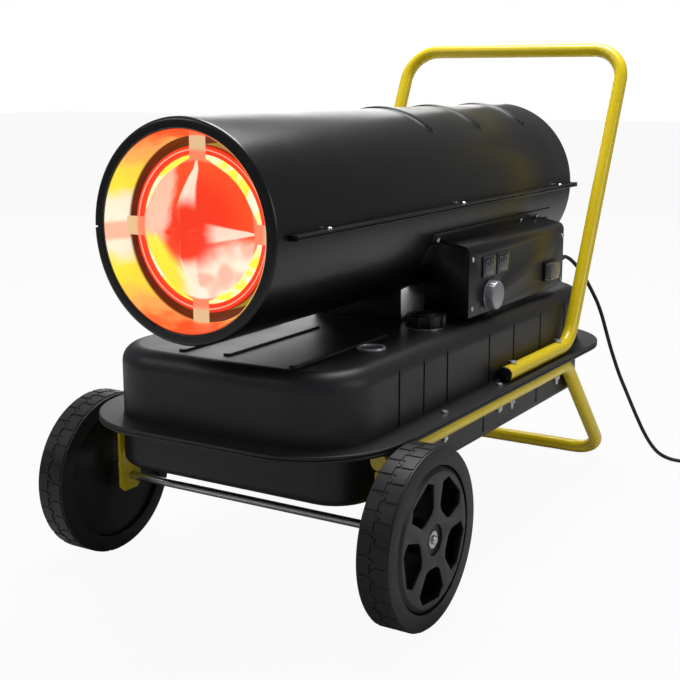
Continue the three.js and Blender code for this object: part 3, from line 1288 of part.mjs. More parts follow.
// Drum, web, closed back and hub, turned about +Y with the outer face up, then laid along +Z for its openings
function rim() {
  const outer = TYRE_INNER_RADIUS - GAP;
  const drum = outer - RIM_DRUM_WALL;
  const inside = -WHEEL_WIDTH / 2;
  const face = WHEEL_WIDTH / 2 + RIM_PROUD;
  const halfDrum = RIM_DRUM_WIDTH / 2;
  const bore = AXLE_RADIUS + GAP;
  const body = solid(turned([
    [bore, inside], [HUB_RADIUS, inside], [HUB_RADIUS, -halfDrum],
    [outer, -halfDrum], [outer, halfDrum], [RIM_STEP_RADIUS, face],
    [HUB_RECESS_RADIUS, face], [HUB_RECESS_RADIUS, face - HUB_RECESS_DEPTH],
    [bore, face - HUB_RECESS_DEPTH],
  ], SIDES_LARGE).rotateX(Math.PI / 2));
  const hollow = solid(turned([
    [HUB_RADIUS, RIM_BACK - halfDrum], [drum, RIM_BACK - halfDrum],
    [drum, halfDrum - RIM_WEB], [HUB_RADIUS, face - RIM_WEB],
  ], SIDES_LARGE).rotateX(Math.PI / 2));
  const openings = Array.from({ length: RIM_OPENINGS }, (_, k) => (
    rimOpening(FIRST_OPENING_ANGLE + QUARTER_TURN + (360 * k) / RIM_OPENINGS)
  ));
  return cut(body, hollow, ...openings);
}

// A wheel lies flat as made and is turned so that its outer face looks out to its side
function wheel(side, name) {
  const group = placed(new THREE.Group(), [
    piece(`rim_${name}`, rim(), BLACK_PLASTIC),
    piece(`tyre_${name}`, tyre(), RUBBER),
  ]);
  group.rotation.y = (side * Math.PI) / 2;
  group.position.set((side * WHEEL_TRACK) / 2, 0, AXLE_Z);
  return group;
}

// A plastic plug in the open front end of a handle tube
function endCap(side) {
  const stem = (TUBE_RADIUS - TUBE_WALL) * Math.cos(Math.PI / SIDES_BORE) - GAP;
  const seat = HANDLE_FRONT - GAP;
  const at = [side * TUBE_X, RUN_Z];
  return join(
    rod('y', TUBE_RADIUS, [seat - END_CAP_HEAD, seat], at),
    rod('y', stem, [seat - 1, seat + END_CAP_STEM], at),
  );
}

// Head on the handle tube, shank through tube, flanges and rail, nut under the rail
function handleBolt(x, y) {
  const seat = RUN_Z + TUBE_RADIUS + GAP;
  const nutTop = RAIL_Z - TUBE_RADIUS - GAP;
  return join(
    rod('z', BOLT_HEAD_RADIUS, [seat, seat + BOLT_HEAD_HEIGHT], [x, y], SIDES_TUBE),
    rod('z', BOLT_RADIUS, [nutTop - BOLT_NUT_HEIGHT - BOLT_TAIL, seat + 1], [x, y], SIDES_BORE),
    rod('z', BOLT_NUT_RADIUS, [nutTop - BOLT_NUT_HEIGHT, nutTop], [x, y], 6),
  );
}

function chassisGroup() {
  const sides = [[1, 'right'], [-1, 'left']];
  const group = placed(new THREE.Group(), [
    piece('support_frame', supportFrame(), YELLOW_PAINT),
    piece('handle', handle(), YELLOW_PAINT),
    piece('axle', axle(), STEEL),
  ]);
  sides.forEach(([side, name]) => {
    placed(group, [
      piece(`axle_bracket_${name}`, axleBracket(side), YELLOW_PAINT),
      piece(`split_pin_${name}`, splitPin(side), ZINC),
      piece(`end_cap_${name}`, endCap(side), BLACK_PLASTIC),
      piece(`front_bolt_${name}`, handleBolt(side * TUBE_X, HANDLE_BOLTS_Y[0]), ZINC),
      piece(`rear_bolt_${name}`, handleBolt(side * TUBE_X, HANDLE_BOLTS_Y[1]), ZINC),
    ]);
    group.add(wheel(side, name));
  });
  return group;
}

// ---------------------------------------------------------------- mains cord

const cordStartY = BOX_BACK + GAP + GLAND_FLANGE + GLAND_TAPER + GAP;
const plugZ = PLUG_RADIUS + GAP;

// The gland's stem goes through the box's rear wall, and its sleeve tapers along the cord
function gland() {
  const seat = BOX_BACK + GAP;
  const sleeve = seat + GLAND_FLANGE;
  const body = lathe([
    [0, BOX_BACK - GLAND_STEM], [GLAND_STEM_RADIUS, BOX_BACK - GLAND_STEM], [GLAND_STEM_RADIUS, seat],
    [GLAND_FLANGE_RADIUS, seat], [GLAND_FLANGE_RADIUS, sleeve], [GLAND_FLANGE_RADIUS - 1.5, sleeve],
    [GLAND_TIP_RADIUS, sleeve + GLAND_TAPER], [0, sleeve + GLAND_TAPER],
  ], SIDES_SMALL);
  return moved(body, GLAND_X, 0, GLAND_Z);
}

function cord() {
  const start = point(GLAND_X, cordStartY, GLAND_Z);
  const bend = point(GLAND_X, cordStartY + CORD_STRAIGHT, GLAND_Z);
  const end = point(COIL_X - COIL_LEAD - GAP, COIL_Y + COIL_RADIUS, COIL_FLOOR_Z);
  const curve = [bend, ...CORD_ROUTE.map((p) => point(...p)), end];
  const route = new THREE.CatmullRomCurve3(curve, false, 'centripetal');
  const steps = Math.round(route.getLength() / (CORD_STEP * 2 * CORD_RADIUS));
  const path = [start, ...route.getSpacedPoints(steps)];
  return { body: tube(path, CORD_RADIUS, SIDES_CORD), length: pathLength(path) };
}

// The coil winds in on the floor, climbs a layer where it turns back, and winds out on top
function coilRadius(turn) {
  const back = COIL_TURNS / 2;
  return COIL_RADIUS - COIL_PITCH * (back - Math.abs(turn - back));
}

function coilPoint(turn) {
  const angle = radians(QUARTER_TURN - 360 * turn);
  const climbStart = (COIL_TURNS - COIL_CLIMB_TURNS) / 2;
  const climb = THREE.MathUtils.clamp((turn - climbStart) / COIL_CLIMB_TURNS, 0, 1);
  const lift = THREE.MathUtils.smoothstep(turn, COIL_TURNS - COIL_LEAD_TURNS, COIL_TURNS);
  const layer = COIL_FLOOR_Z + COIL_PITCH * climb;
  const radius = coilRadius(turn);
  const z = layer + (plugZ - COIL_FLOOR_Z - COIL_PITCH) * lift;
  return point(COIL_X + radius * Math.cos(angle), COIL_Y + radius * Math.sin(angle), z);
}

function coilPath() {
  const steps = Math.round(COIL_TURNS * STEPS_COIL_TURN);
  const turns = Array.from({ length: steps + 1 }, (_, i) => coilPoint((COIL_TURNS * i) / steps));
  const lead = point(COIL_X - COIL_LEAD, COIL_Y + COIL_RADIUS, COIL_FLOOR_Z);
  const tail = turns.at(-1).clone().add(point(0, -COIL_LEAD, 0));
  return [lead, ...turns, tail];
}

// Least distance between stretches of the coil that aren't neighbours along it, less one diameter
function coilLeastGap() {
  const fine = Array.from({ length: COIL_SAMPLES }, (_, i) => (COIL_TURNS * i) / (COIL_SAMPLES - 1));
  const points = fine.map(coilPoint);
  const apart = Math.ceil((COIL_SAMPLES * COIL_APART) / COIL_TURNS);
  let least = Infinity;
  for (let i = 0; i < points.length; i += 1) {
    for (let k = i + apart; k < points.length; k += 1) {
      least = Math.min(least, points[i].distanceTo(points[k]));
    }
  }
  return least - 2 * CORD_RADIUS;
}

const pathLength = (points) => points.slice(1).reduce((sum, p, i) => sum + p.distanceTo(points[i]), 0);

// A flat band round all turns at one place of the coil
function coilTie() {
  const turn = (QUARTER_TURN - TIE_ANGLE + 360) / 360;
  const slack = CORD_RADIUS + TIE_SLACK;
  const inner = [coilRadius(COIL_TURNS / 2) - slack, coilRadius(turn) + slack];
  const heights = [COIL_FLOOR_Z - CORD_RADIUS - GAP, COIL_FLOOR_Z + COIL_PITCH + CORD_RADIUS + GAP];
  const grown = ([low, high]) => [low - TIE_SHEET, high + TIE_SHEET];
  const width = [-TIE_WIDTH / 2, TIE_WIDTH / 2];
  const band = cut(box(grown(inner), width, grown(heights)), box(inner, [-TIE_WIDTH, TIE_WIDTH], heights));
  return moved(band.rotate([0, 0, TIE_ANGLE]), COIL_X, COIL_Y, 0);
}

// A round plug with two pins, lying beside the coil
function plug() {
  const end = PLUG_SLEEVE + PLUG_LENGTH;
  const body = lathe([
    [0, 0], [GLAND_TIP_RADIUS, 0], [PLUG_SLEEVE_RADIUS, PLUG_SLEEVE], [PLUG_RADIUS * 0.75, PLUG_SLEEVE + 5],
    [PLUG_RADIUS, PLUG_SLEEVE + 14], [PLUG_RADIUS, end - 2], [PLUG_RADIUS - 2, end], [0, end],
  ], SIDES_MIDDLE);
  const pins = [-1, 1].map((side) => rod('y', PLUG_PIN_RADIUS, [end - 1, end + PLUG_PIN_LENGTH],
    [(side * PLUG_PIN_SPACING) / 2, 0], SIDES_BORE));
  const turnedBack = join(body, ...pins).rotate([0, 0, 180]);
  return moved(turnedBack, COIL_X + COIL_RADIUS, COIL_Y - COIL_LEAD - GAP, plugZ);
}

function cordGroup() {
  const free = cord();
  const path = coilPath();
  const length = free.length + pathLength(path);
  console.log(`cord ${length.toFixed(0)} mm, least gap in coil ${coilLeastGap().toFixed(2)} mm`);
  return placed(new THREE.Group(), [
    piece('cord_gland', gland(), BLACK_PLASTIC),
    piece('power_cord', free.body, CORD_RUBBER),
    piece('cord_coil', tube(path, CORD_RADIUS, SIDES_COIL), CORD_RUBBER),
    piece('coil_tie', coilTie(), BLACK_PLASTIC),
    piece('power_plug', plug(), CORD_RUBBER),
  ]);
}

// ---------------------------------------------------------------- assembly

const heater = new THREE.Group();
const tankGroup = placed(new THREE.Group(), tankMeshes());
heater.add(barrelGroup(), controlGroup(), tankGroup, chassisGroup(), cordGroup());
heater.position.y = -CENTRE_Y;

export default heater;
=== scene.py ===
"""A forced air heater on two wheels, seen from its outlet and its control side on a plain pale ground."""

import json
import logging
import math
from dataclasses import dataclass, field
from enum import Enum
from typing import Any, Callable, Sequence

import bmesh
import bpy
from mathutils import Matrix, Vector


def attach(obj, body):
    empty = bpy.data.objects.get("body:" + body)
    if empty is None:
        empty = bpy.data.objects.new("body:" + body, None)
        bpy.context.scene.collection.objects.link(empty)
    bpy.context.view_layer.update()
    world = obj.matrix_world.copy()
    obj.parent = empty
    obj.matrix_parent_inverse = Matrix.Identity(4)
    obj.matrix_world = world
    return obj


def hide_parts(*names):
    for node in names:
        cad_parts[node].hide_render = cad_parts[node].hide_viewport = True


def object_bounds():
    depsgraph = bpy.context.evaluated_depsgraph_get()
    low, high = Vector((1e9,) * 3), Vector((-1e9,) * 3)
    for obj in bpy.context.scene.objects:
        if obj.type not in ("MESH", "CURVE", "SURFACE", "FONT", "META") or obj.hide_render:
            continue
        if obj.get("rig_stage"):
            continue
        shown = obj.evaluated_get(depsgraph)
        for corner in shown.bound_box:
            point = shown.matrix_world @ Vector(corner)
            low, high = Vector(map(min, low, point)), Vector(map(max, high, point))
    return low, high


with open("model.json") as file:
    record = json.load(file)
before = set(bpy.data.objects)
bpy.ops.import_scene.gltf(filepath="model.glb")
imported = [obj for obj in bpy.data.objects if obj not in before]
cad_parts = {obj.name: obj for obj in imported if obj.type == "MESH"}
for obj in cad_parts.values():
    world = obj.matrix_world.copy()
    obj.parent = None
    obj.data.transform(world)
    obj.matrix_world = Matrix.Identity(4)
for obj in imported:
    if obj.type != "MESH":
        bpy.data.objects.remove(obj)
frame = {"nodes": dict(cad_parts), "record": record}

logging.basicConfig(level=logging.INFO, format="%(message)s")
LOG = logging.getLogger("heater")

MM = 0.001
AXIS_Z = 526.9
AXLE_Y = -384.0
AXLE_Z = 125.0
BARREL = (0.0, 0.0, AXIS_Z)

Colour = tuple[float, float, float]
Point = tuple[float, float, float]


def tone(red: int, green: int, blue: int) -> Colour:
    """Turn a display colour into a linear one."""
    shares = (channel / 255 for channel in (red, green, blue))
    return tuple(s / 12.92 if s <= 0.04045 else ((s + 0.055) / 1.055) ** 2.4 for s in shares)


def at(x: float, y: float, z: float) -> Vector:
    """Give a place in metres."""
    return Vector((x, y, z)) * MM


# ------------------------------------------------------------------ shaders


class Signal:
    """A node's output, so that shader maths reads like plain maths."""

    def __init__(self, shader: "Shader", socket: Any) -> None:
        """Hold an output."""
        self.shader = shader
        self.socket = socket

    def reckon(self, operation: str, *others: Any, clamp: bool = False) -> "Signal":
        """Apply one math operation.

        Args:
            operation: The math node's operation.
            others: Further inputs, signals or numbers.
            clamp: Whether the answer stays between 0 and 1.

        Returns:
            The answer.
        """
        inputs = dict(enumerate((self, *others)))
        settings = {"operation": operation, "use_clamp": clamp}
        return self.shader.add("ShaderNodeMath", settings, inputs)

    def __add__(self, other: Any) -> "Signal":
        """Add another signal or number."""
        return self.reckon("ADD", other)

    __radd__ = __add__

    def __mul__(self, other: Any) -> "Signal":
        """Multiply by another signal or number."""
        return self.reckon("MULTIPLY", other)

    __rmul__ = __mul__

    def __sub__(self, other: Any) -> "Signal":
        """Take another signal or number away."""
        return self.reckon("SUBTRACT", other)

    def __rsub__(self, other: Any) -> "Signal":
        """Take this signal away from a number."""
        return (self * -1.0) + other

    def __truediv__(self, other: Any) -> "Signal":
        """Divide by another signal or number."""
        return self.reckon("DIVIDE", other)

    def __rtruediv__(self, other: Any) -> "Signal":
        """Divide a number by this signal."""
        return self.reckon("POWER", -1.0) * other

    def __pow__(self, other: Any) -> "Signal":
        """Raise to a power."""
        return self.reckon("POWER", other)

    def between(self, low: float, high: float) -> "Signal":
        """Rise smoothly from 0 to 1 over a range."""
        settings = {"interpolation_type": "SMOOTHSTEP"}
        return self.shader.add("ShaderNodeMapRange", settings, {0: self, 1: low, 2: high})


class Shader:
    """One material's node graph round a Principled shader."""

    def __init__(self, name: str) -> None:
        """Start a material.

        Args:
            name: The material's name.
        """
        self.material = bpy.data.materials.new(name)
        self.material.use_nodes = True
        self.tree = self.material.node_tree
        self.surface = self.tree.nodes["Principled BSDF"]
        self.object = self.add("ShaderNodeTexCoord", {}, {}, "Object")

    def add(self, kind: str, settings: dict, inputs: dict, output: Any = 0) -> Signal:
        """Add a node, set it up and feed it.

        Args:
            kind: The node's type.
            settings: Its properties, set first.
            inputs: Input name or index to number, colour or signal.
            output: Name or index of the wanted output.

        Returns:
            That output.
        """
        node = self.tree.nodes.new(kind)
        for key, value in settings.items():
            setattr(node, key, value)
        for key, value in inputs.items():
            self.feed(node.inputs[key], value)
        return Signal(self, node.outputs[output])

    def feed(self, socket: Any, value: Any) -> None:
        """Link a signal to an input, or set a plain value there.

        Args:
            socket: The input.
            value: A signal, number or colour.
        """
        if isinstance(value, Signal):
            self.tree.links.new(value.socket, socket)
        elif isinstance(value, tuple) and len(socket.default_value) == 4:
            socket.default_value = (*value, 1.0)
        else:
            socket.default_value = value

    def set(self, **inputs: Any) -> None:
        """Feed the Principled shader."""
        for key, value in inputs.items():
            self.feed(self.surface.inputs[key.replace("_", " ")], value)

    def noise(self, scale: float, detail: float = 3.0, vector: Signal | None = None) -> Signal:
        """Add noise."""
        inputs = {"Vector": vector or self.object, "Scale": scale, "Detail": detail}
        return self.add("ShaderNodeTexNoise", {}, inputs, "Fac")

    def blend(self, share: Any, first: Any, second: Any) -> Signal:
        """Mix two colours."""
        return self.add("ShaderNodeMix", {"data_type": "RGBA"}, {0: share, 6: first, 7: second}, 2)

    def place(self) -> tuple[Signal, Signal, Signal]:
        """Split the object's coordinates.

        Returns:
            x, y and z in metres.
        """
        split = self.add("ShaderNodeSeparateXYZ", {}, {0: self.object})
        outputs = split.socket.node.outputs
        return tuple(Signal(self, socket) for socket in outputs)

    def rough(self, height: Signal, strength: float, depth: float) -> None:
        """Give the surface a relief."""
        inputs = {"Strength": strength, "Distance": depth, "Height": height}
        self.set(Normal=self.add("ShaderNodeBump", {}, inputs))


@dataclass(frozen=True)
class Finish:
    """How one kind of surface looks.

    Attributes:
        name: The material's name.
        colour: Its linear colour.
        roughness: Its mean roughness.
        metallic: 1 for bare metal.
        coat: Weight of a clear coat.
        speckle: Share by which the colour varies.
        wear: Amount by which the roughness varies.
        grain: How fine the relief is.
        relief: Depth of the relief in millimetres.
        clear: Share of light let through.
        shine: Specular level.
    """

    name: str
    colour: Colour
    roughness: float = 0.45
    metallic: float = 0.0
    coat: float = 0.0
    speckle: float = 0.12
    wear: float = 0.12
    grain: float = 900.0
    relief: float = 0.04
    clear: float = 0.0
    shine: float = 0.5

    def make(self) -> Any:
        """Build the material.

        Returns:
            The material.
        """
        shader = Shader(self.name)
        broad = shader.noise(14.0, 4.0)
        fine = shader.noise(self.grain, 2.0)
        dark = tuple(c * (1.0 - self.speckle) for c in self.colour)
        light = tuple(min(1.0, c * (1.0 + self.speckle)) for c in self.colour)
        shader.set(Base_Color=shader.blend(broad * 0.6 + fine * 0.4, dark, light))
        shader.set(Roughness=broad * self.wear + (self.roughness - self.wear / 2))
        shader.set(Metallic=self.metallic, Specular_IOR_Level=self.shine)
        shader.set(Coat_Weight=self.coat, Coat_Roughness=0.18, Transmission_Weight=self.clear)
        shader.rough(fine, 0.5, self.relief * MM)
        return shader.material


class Paint(Enum):
    """The finishes of the heater."""

    BLACK = Finish("black_paint", tone(9, 9, 11), 0.3, coat=0.12, grain=1500, relief=0.005)
    CHARCOAL = Finish("charcoal_powder", tone(30, 31, 34), 0.44, grain=1200, relief=0.01)
    YELLOW = Finish("yellow_paint", tone(255, 222, 16), 0.3, coat=0.3, speckle=0.04, relief=0.01)
    GREY = Finish("grey_paint", tone(96, 98, 102), 0.45)
    STEEL = Finish("steel", tone(196, 196, 200), 0.28, 1.0, grain=500, relief=0.01)
    ZINC = Finish("zinc", tone(205, 206, 210), 0.34, 1.0, grain=350, relief=0.01)
    LINER = Finish("liner_steel", tone(206, 190, 166), 0.38, 1.0)
    BRASS = Finish("brass", tone(216, 184, 112), 0.3, 1.0)
    ALUMINIUM = Finish("cast_aluminium", tone(190, 191, 194), 0.48, 1.0, grain=700, relief=0.08)
    CERAMIC = Finish("ceramic", tone(236, 232, 222), 0.2, coat=0.5, speckle=0.03)
    PLASTIC = Finish("black_plastic", tone(15, 15, 17), 0.4, grain=1800)
    WHEEL = Finish("wheel_plastic", tone(17, 17, 19), 0.42, grain=1600, relief=0.02)
    RUBBER = Finish("tyre_rubber", tone(23, 24, 27), 0.5, speckle=0.2, grain=1300, relief=0.04)
    CORD = Finish("cord_rubber", tone(20, 20, 22), 0.45, grain=1300)
    SILVER = Finish("silver_plastic", tone(176, 178, 182), 0.36, 0.55, speckle=0.05)
    WINDOW = Finish("display_window", tone(14, 14, 16), 0.12, coat=0.6, speckle=0.05, relief=0.0)
    DIGIT = Finish("display_digit", tone(132, 134, 138), 0.5, speckle=0.05, relief=0.0)
    FRAME = Finish("display_frame", tone(58, 60, 63), 0.35, speckle=0.05)
    RED = Finish("red_plastic", tone(176, 26, 20), 0.3, coat=0.3, clear=0.2)
    BOARD = Finish("board", tone(20, 86, 46), 0.4, coat=0.3, speckle=0.25)
    GLASS = Finish("clear_lens", tone(236, 238, 240), 0.1, clear=0.92, speckle=0.01, relief=0.0)


SLOTS = {paint.value.name: paint for paint in Paint} | {"hot_steel": Paint.LINER}


class OutletGlow:
    """The outlet's sheets, coloured with painted glow: emission on sheets that are no lamp, with painted
    highlights and painted shade.
    """

    GLOW_ORANGE = tone(255, 84, 40)
    RED = tone(250, 60, 34)
    AMBER = tone(255, 176, 96)
    YELLOW = tone(255, 236, 70)
    CREAM = tone(255, 250, 226)
    PINK = tone(253, 196, 172)
    SALMON = tone(252, 140, 104)
    TAN = tone(226, 196, 150)
    SHADE_BROWN = tone(66, 22, 10)

    def start(self, name: str) -> tuple[Shader, Signal, Signal, Signal, Signal]:
        """Begin a steel with painted glow.

        Args:
            name: The material's name.

        Returns:
            The shader, the depth y, the radius, the way to the right and the way up, in metres.
        """
        shader = Shader(name)
        x, y, z = shader.place()
        up = z - AXIS_Z * MM
        radius = (x * x + up * up) ** 0.5
        # Painted glow: the emission lights sheets that are no lamp.
        shader.set(Roughness=0.42, Metallic=0.6, Emission_Strength=0.95)
        return shader, y, radius, x, up

    def finish(self, shader: Shader, glow: Signal, streak: float) -> Any:
        """Give a shader its painted glow.

        Args:
            shader: The shader.
            glow: The colour that it sends out.
            streak: Share of orange streaks in it.

        Returns:
            The material.
        """
        streaks = shader.noise(60.0, 5.0)
        shader.set(Emission_Color=shader.blend(streaks * streak, glow, self.GLOW_ORANGE))
        shader.set(Base_Color=shader.blend(0.2, (0.02, 0.01, 0.008), glow))
        shader.rough(streaks, 0.25, 0.3 * MM)
        return shader.material

    def liner(self) -> Any:
        """Make the liner's painted glow, cream at mid height and amber at top and bottom, with a painted
        reflection band just below the middle and painted shade further in.

        Returns:
            The material.
        """
        shader, y, _, _, up = self.start("glowing_liner")
        # Painted glow: cream at mid height, yellow, amber and orange towards top and bottom.
        height = up.reckon("ABSOLUTE") + (shader.noise(22.0, 2.0) - 0.5) * 0.05
        glow = shader.blend(height.between(0.03, 0.062), self.CREAM, self.YELLOW)
        glow = shader.blend(height.between(0.066, 0.104), glow, self.AMBER)
        glow = shader.blend(height.between(0.105, 0.126), glow, self.GLOW_ORANGE)
        # Painted reflection: a salmon band just below the middle.
        reflection_band = (up + 0.006).reckon("ABSOLUTE").between(0.016, 0.008)
        glow = shader.blend(reflection_band * 0.6, glow, self.SALMON)
        # Painted shade: the liner turns brown further in.
        shade_further_in = y.between(-0.486, -0.479)
        return self.finish(shader, shader.blend(shade_further_in, glow, self.SHADE_BROWN), 0.16)

    def chamber(self) -> Any:
        """Make the chamber's painted glow, red with a painted highlight line at its lip, yellow inside
        and painted shade outside the lip.

        Returns:
            The material.
        """
        shader, y, radius, _, _ = self.start("glowing_chamber")
        inside = y.between(-0.481, -0.47)
        # Painted highlight: a pale pink line round the lip.
        line = (radius - 0.1048).reckon("ABSOLUTE").between(0.0012, 0.0004)
        lip = shader.blend(line * 0.8, self.RED, self.PINK)
        # Painted glow inside the chamber, yellow and cream.
        flame = shader.blend(shader.noise(26.0, 2.0).between(0.42, 0.62), self.YELLOW, self.CREAM)
        glow = shader.blend(inside, lip, flame)
        # Painted shade: brown outside the lip, in the gap before the liner.
        outside = radius.between(0.1088, 0.1098)
        return self.finish(shader, shader.blend(outside * 0.7, glow, self.SHADE_BROWN), 0.1)

    def deflector(self) -> Any:
        """Make the deflector's painted glow: painted light on its facets, red above and pale below, with
        painted highlights on the ridges and tan legs.

        Returns:
            The material.
        """
        shader, _, radius, x, up = self.start("glowing_deflector")
        # Painted light on the facets: red above, pink at the upper left, yellow at the lower left, pale
        # cream at the lower right.
        drift = (shader.noise(34.0, 3.0) - 0.5) * 0.03
        lean = x + drift
        rise = up + drift
        red = shader.blend(radius.between(0.05, 0.09), self.RED, self.GLOW_ORANGE)
        upper = shader.blend((lean + 0.03).between(-0.012, 0.008), self.PINK, red)
        pale = shader.blend(shader.noise(24.0, 1.0).between(0.36, 0.52), self.PINK, self.CREAM)
        lower = shader.blend((lean + 0.02).between(-0.02, 0.02), self.YELLOW, pale)
        core = shader.blend(radius.between(0.03, 0.062), red, lower)
        glow = shader.blend((rise + 0.01).between(-0.008, 0.008), core, upper)
        # Painted highlights: pale cream along the upright creases and the right-hand level crease.
        room = 0.096 - radius
        tall = (x.reckon("ABSOLUTE") / room).between(0.3, 0.2)
        wide = (up.reckon("ABSOLUTE") / room).between(0.26, 0.16) * x.between(-0.01, 0.01)
        ridge_highlight = tall.reckon("MAXIMUM", wide) * radius.between(0.03, 0.052)
        glow = shader.blend(ridge_highlight * 0.8, glow, self.CREAM)
        leg = shader.blend(radius.between(0.1, 0.108), self.SALMON, self.TAN)
        return self.finish(shader, shader.blend(radius.between(0.088, 0.092), glow, leg), 0.12)


@dataclass
class Palette:
    """Makes each material once.

    Attributes:
        made: Materials by finish.
    """

    made: dict[Paint, Any] = field(default_factory=dict)

    def coat(self, piece: Any, paint: Paint) -> Any:
        """Give a piece a finish.

        Args:
            piece: The object.
            paint: Its finish.

        Returns:
            The same object.
        """
        if paint not in self.made:
            self.made[paint] = paint.value.make()
        return self.wear(piece, self.made[paint])

    def wear(self, piece: Any, material: Any) -> Any:
        """Give a piece a material.

        Args:
            piece: The object.
            material: The material.

        Returns:
            The same object.
        """
        piece.data.materials.clear()
        piece.data.materials.append(material)
        return piece


# ------------------------------------------------------------------ modelling


class Workshop:
    """Models pieces with Blender's own operators, in millimetres of the shared frame."""

    AXES = {
        "X": (Vector((0, 1, 0)), Vector((1, 0, 0)), -1),
        "Y": (Vector((1, 0, 0)), Vector((0, 1, 0)), 1),
        "Z": (Vector((1, 0, 0)), Vector((0, 0, 1)), -1),
    }

    def release(self) -> None:
        """Leave edit mode and deselect everything."""
        active = bpy.context.object
        if active is not None and active.mode != "OBJECT":
            bpy.ops.object.mode_set(mode="OBJECT")
        bpy.ops.object.select_all(action="DESELECT")

    def hold(self, piece: Any) -> Any:
        """Select one piece alone.

        Args:
            piece: The object.

        Returns:
            The same object.
        """
        self.release()
        piece.select_set(True)
        bpy.context.view_layer.objects.active = piece
        return piece

    def enter(self, piece: Any) -> None:
        """Open a piece in edit mode with all of it selected.

        Args:
            piece: The object.
        """
        self.hold(piece)
        bpy.ops.object.mode_set(mode="EDIT")
        bpy.ops.mesh.select_all(action="SELECT")

    def settle(self, name: str) -> Any:
        """Name the active object and move its place into its mesh.

        Args:
            name: The piece's name.

        Returns:
            The object.
        """
        if bpy.context.object.mode != "OBJECT":
            bpy.ops.object.mode_set(mode="OBJECT")
        bpy.ops.object.transform_apply(location=True, rotation=True, scale=True)
        piece = bpy.context.object
        piece.name = name
        piece.data.name = name
        return piece

    def choose(self, kind: str, test: Callable[[Any], bool]) -> None:
        """Select the parts of the open mesh that pass a test.

        Args:
            kind: VERT, EDGE or FACE.
            test: Tells whether a part is wanted.
        """
        bpy.ops.mesh.select_mode(type=kind)
        bpy.ops.mesh.select_all(action="DESELECT")
        mesh = bmesh.from_edit_mesh(bpy.context.object.data)
        parts = {"VERT": mesh.verts, "EDGE": mesh.edges, "FACE": mesh.faces}[kind]
        for part in parts:
            if test(part):
                part.select_set(True)
        mesh.select_flush_mode()
        bmesh.update_edit_mesh(bpy.context.object.data)

    @staticmethod
    def level(edge: Any, axis: int, place: float) -> bool:
        """Tell whether an edge lies at one place on the axis 0, 1 or 2."""
        return all(abs(vertex.co[axis] - place * MM) < 0.01 * MM for vertex in edge.verts)

    def tidy(self) -> None:
        """Close the seams of the open mesh and turn its faces outward."""
        bpy.ops.mesh.select_mode(type="VERT")
        bpy.ops.mesh.select_all(action="SELECT")
        bpy.ops.mesh.remove_doubles(threshold=0.002 * MM)
        bpy.ops.mesh.normals_make_consistent(inside=False)

    def smooth(self, piece: Any, angle: float = 35.0) -> Any:
        """Shade a piece smooth up to an angle.

        Args:
            piece: The object.
            angle: Degrees above which an edge stays sharp.

        Returns:
            The same object.
        """
        self.hold(piece)
        bpy.ops.object.shade_smooth_by_angle(angle=math.radians(angle))
        return piece

    def close(self, name: str) -> Any:
        """Fill the open ends of the open mesh, name it and shade it.

        Args:
            name: The piece's name.

        Returns:
            The object.
        """
        self.choose("EDGE", lambda edge: edge.is_boundary)
        bpy.ops.mesh.fill_holes(sides=0)
        self.tidy()
        return self.smooth(self.settle(name))

    def emboss(self, piece: Any, test: Callable[[Any], bool], margin: float, height: float) -> Any:
        """Raise the faces of a piece that pass a test.

        Args:
            piece: The object.
            test: Tells whether a face is wanted.
            margin: How far the raised part stands in from its edge.
            height: How high it is raised.

        Returns:
            The same object.
        """
        self.enter(piece)
        self.choose("FACE", test)
        bpy.ops.mesh.inset(thickness=margin * MM, depth=height * MM, use_even_offset=True)
        self.tidy()
        return self.smooth(self.settle(piece.name), 30)

    def turned(
        self,
        name: str,
        outline: Sequence[tuple[float, float]],
        axis: str,
        centre: Point,
        start: float = 0.0,
        sweep: float = 360.0,
        steps: int = 96,
    ) -> Any:
        """Spin a closed outline round an axis.

        Args:
            name: The piece's name.
            outline: Points as distance along the axis and radius.
            axis: X, Y or Z.
            centre: A point on the axis.
            start: Degrees where the outline begins, 0 or 180.
            sweep: Degrees that it goes round.
            steps: Steps on that way.

        Returns:
            The object.
        """
        side, along, turn = self.AXES[axis]
        middle = at(*centre)
        reach = math.cos(math.radians(start))
        places = [middle + (along * a + side * (r * reach)) * MM for a, r in outline]
        self.release()
        bpy.ops.mesh.primitive_plane_add(size=MM)
        bpy.ops.object.mode_set(mode="EDIT")
        bpy.ops.mesh.select_all(action="SELECT")
        bpy.ops.mesh.merge(type="CENTER")
        bpy.ops.transform.translate(value=places[0])
        for here, there in zip(places, places[1:] + places[:1]):
            bpy.ops.mesh.extrude_vertices_move(TRANSFORM_OT_translate={"value": there - here})
        bpy.ops.mesh.select_all(action="SELECT")
        bpy.ops.mesh.remove_doubles(threshold=0.002 * MM)
        angle = math.radians(sweep) * turn
        bpy.ops.mesh.spin(steps=steps, angle=angle, center=middle, axis=along)
        self.tidy()
        return self.smooth(self.settle(name)) if sweep == 360 else self.close(name)

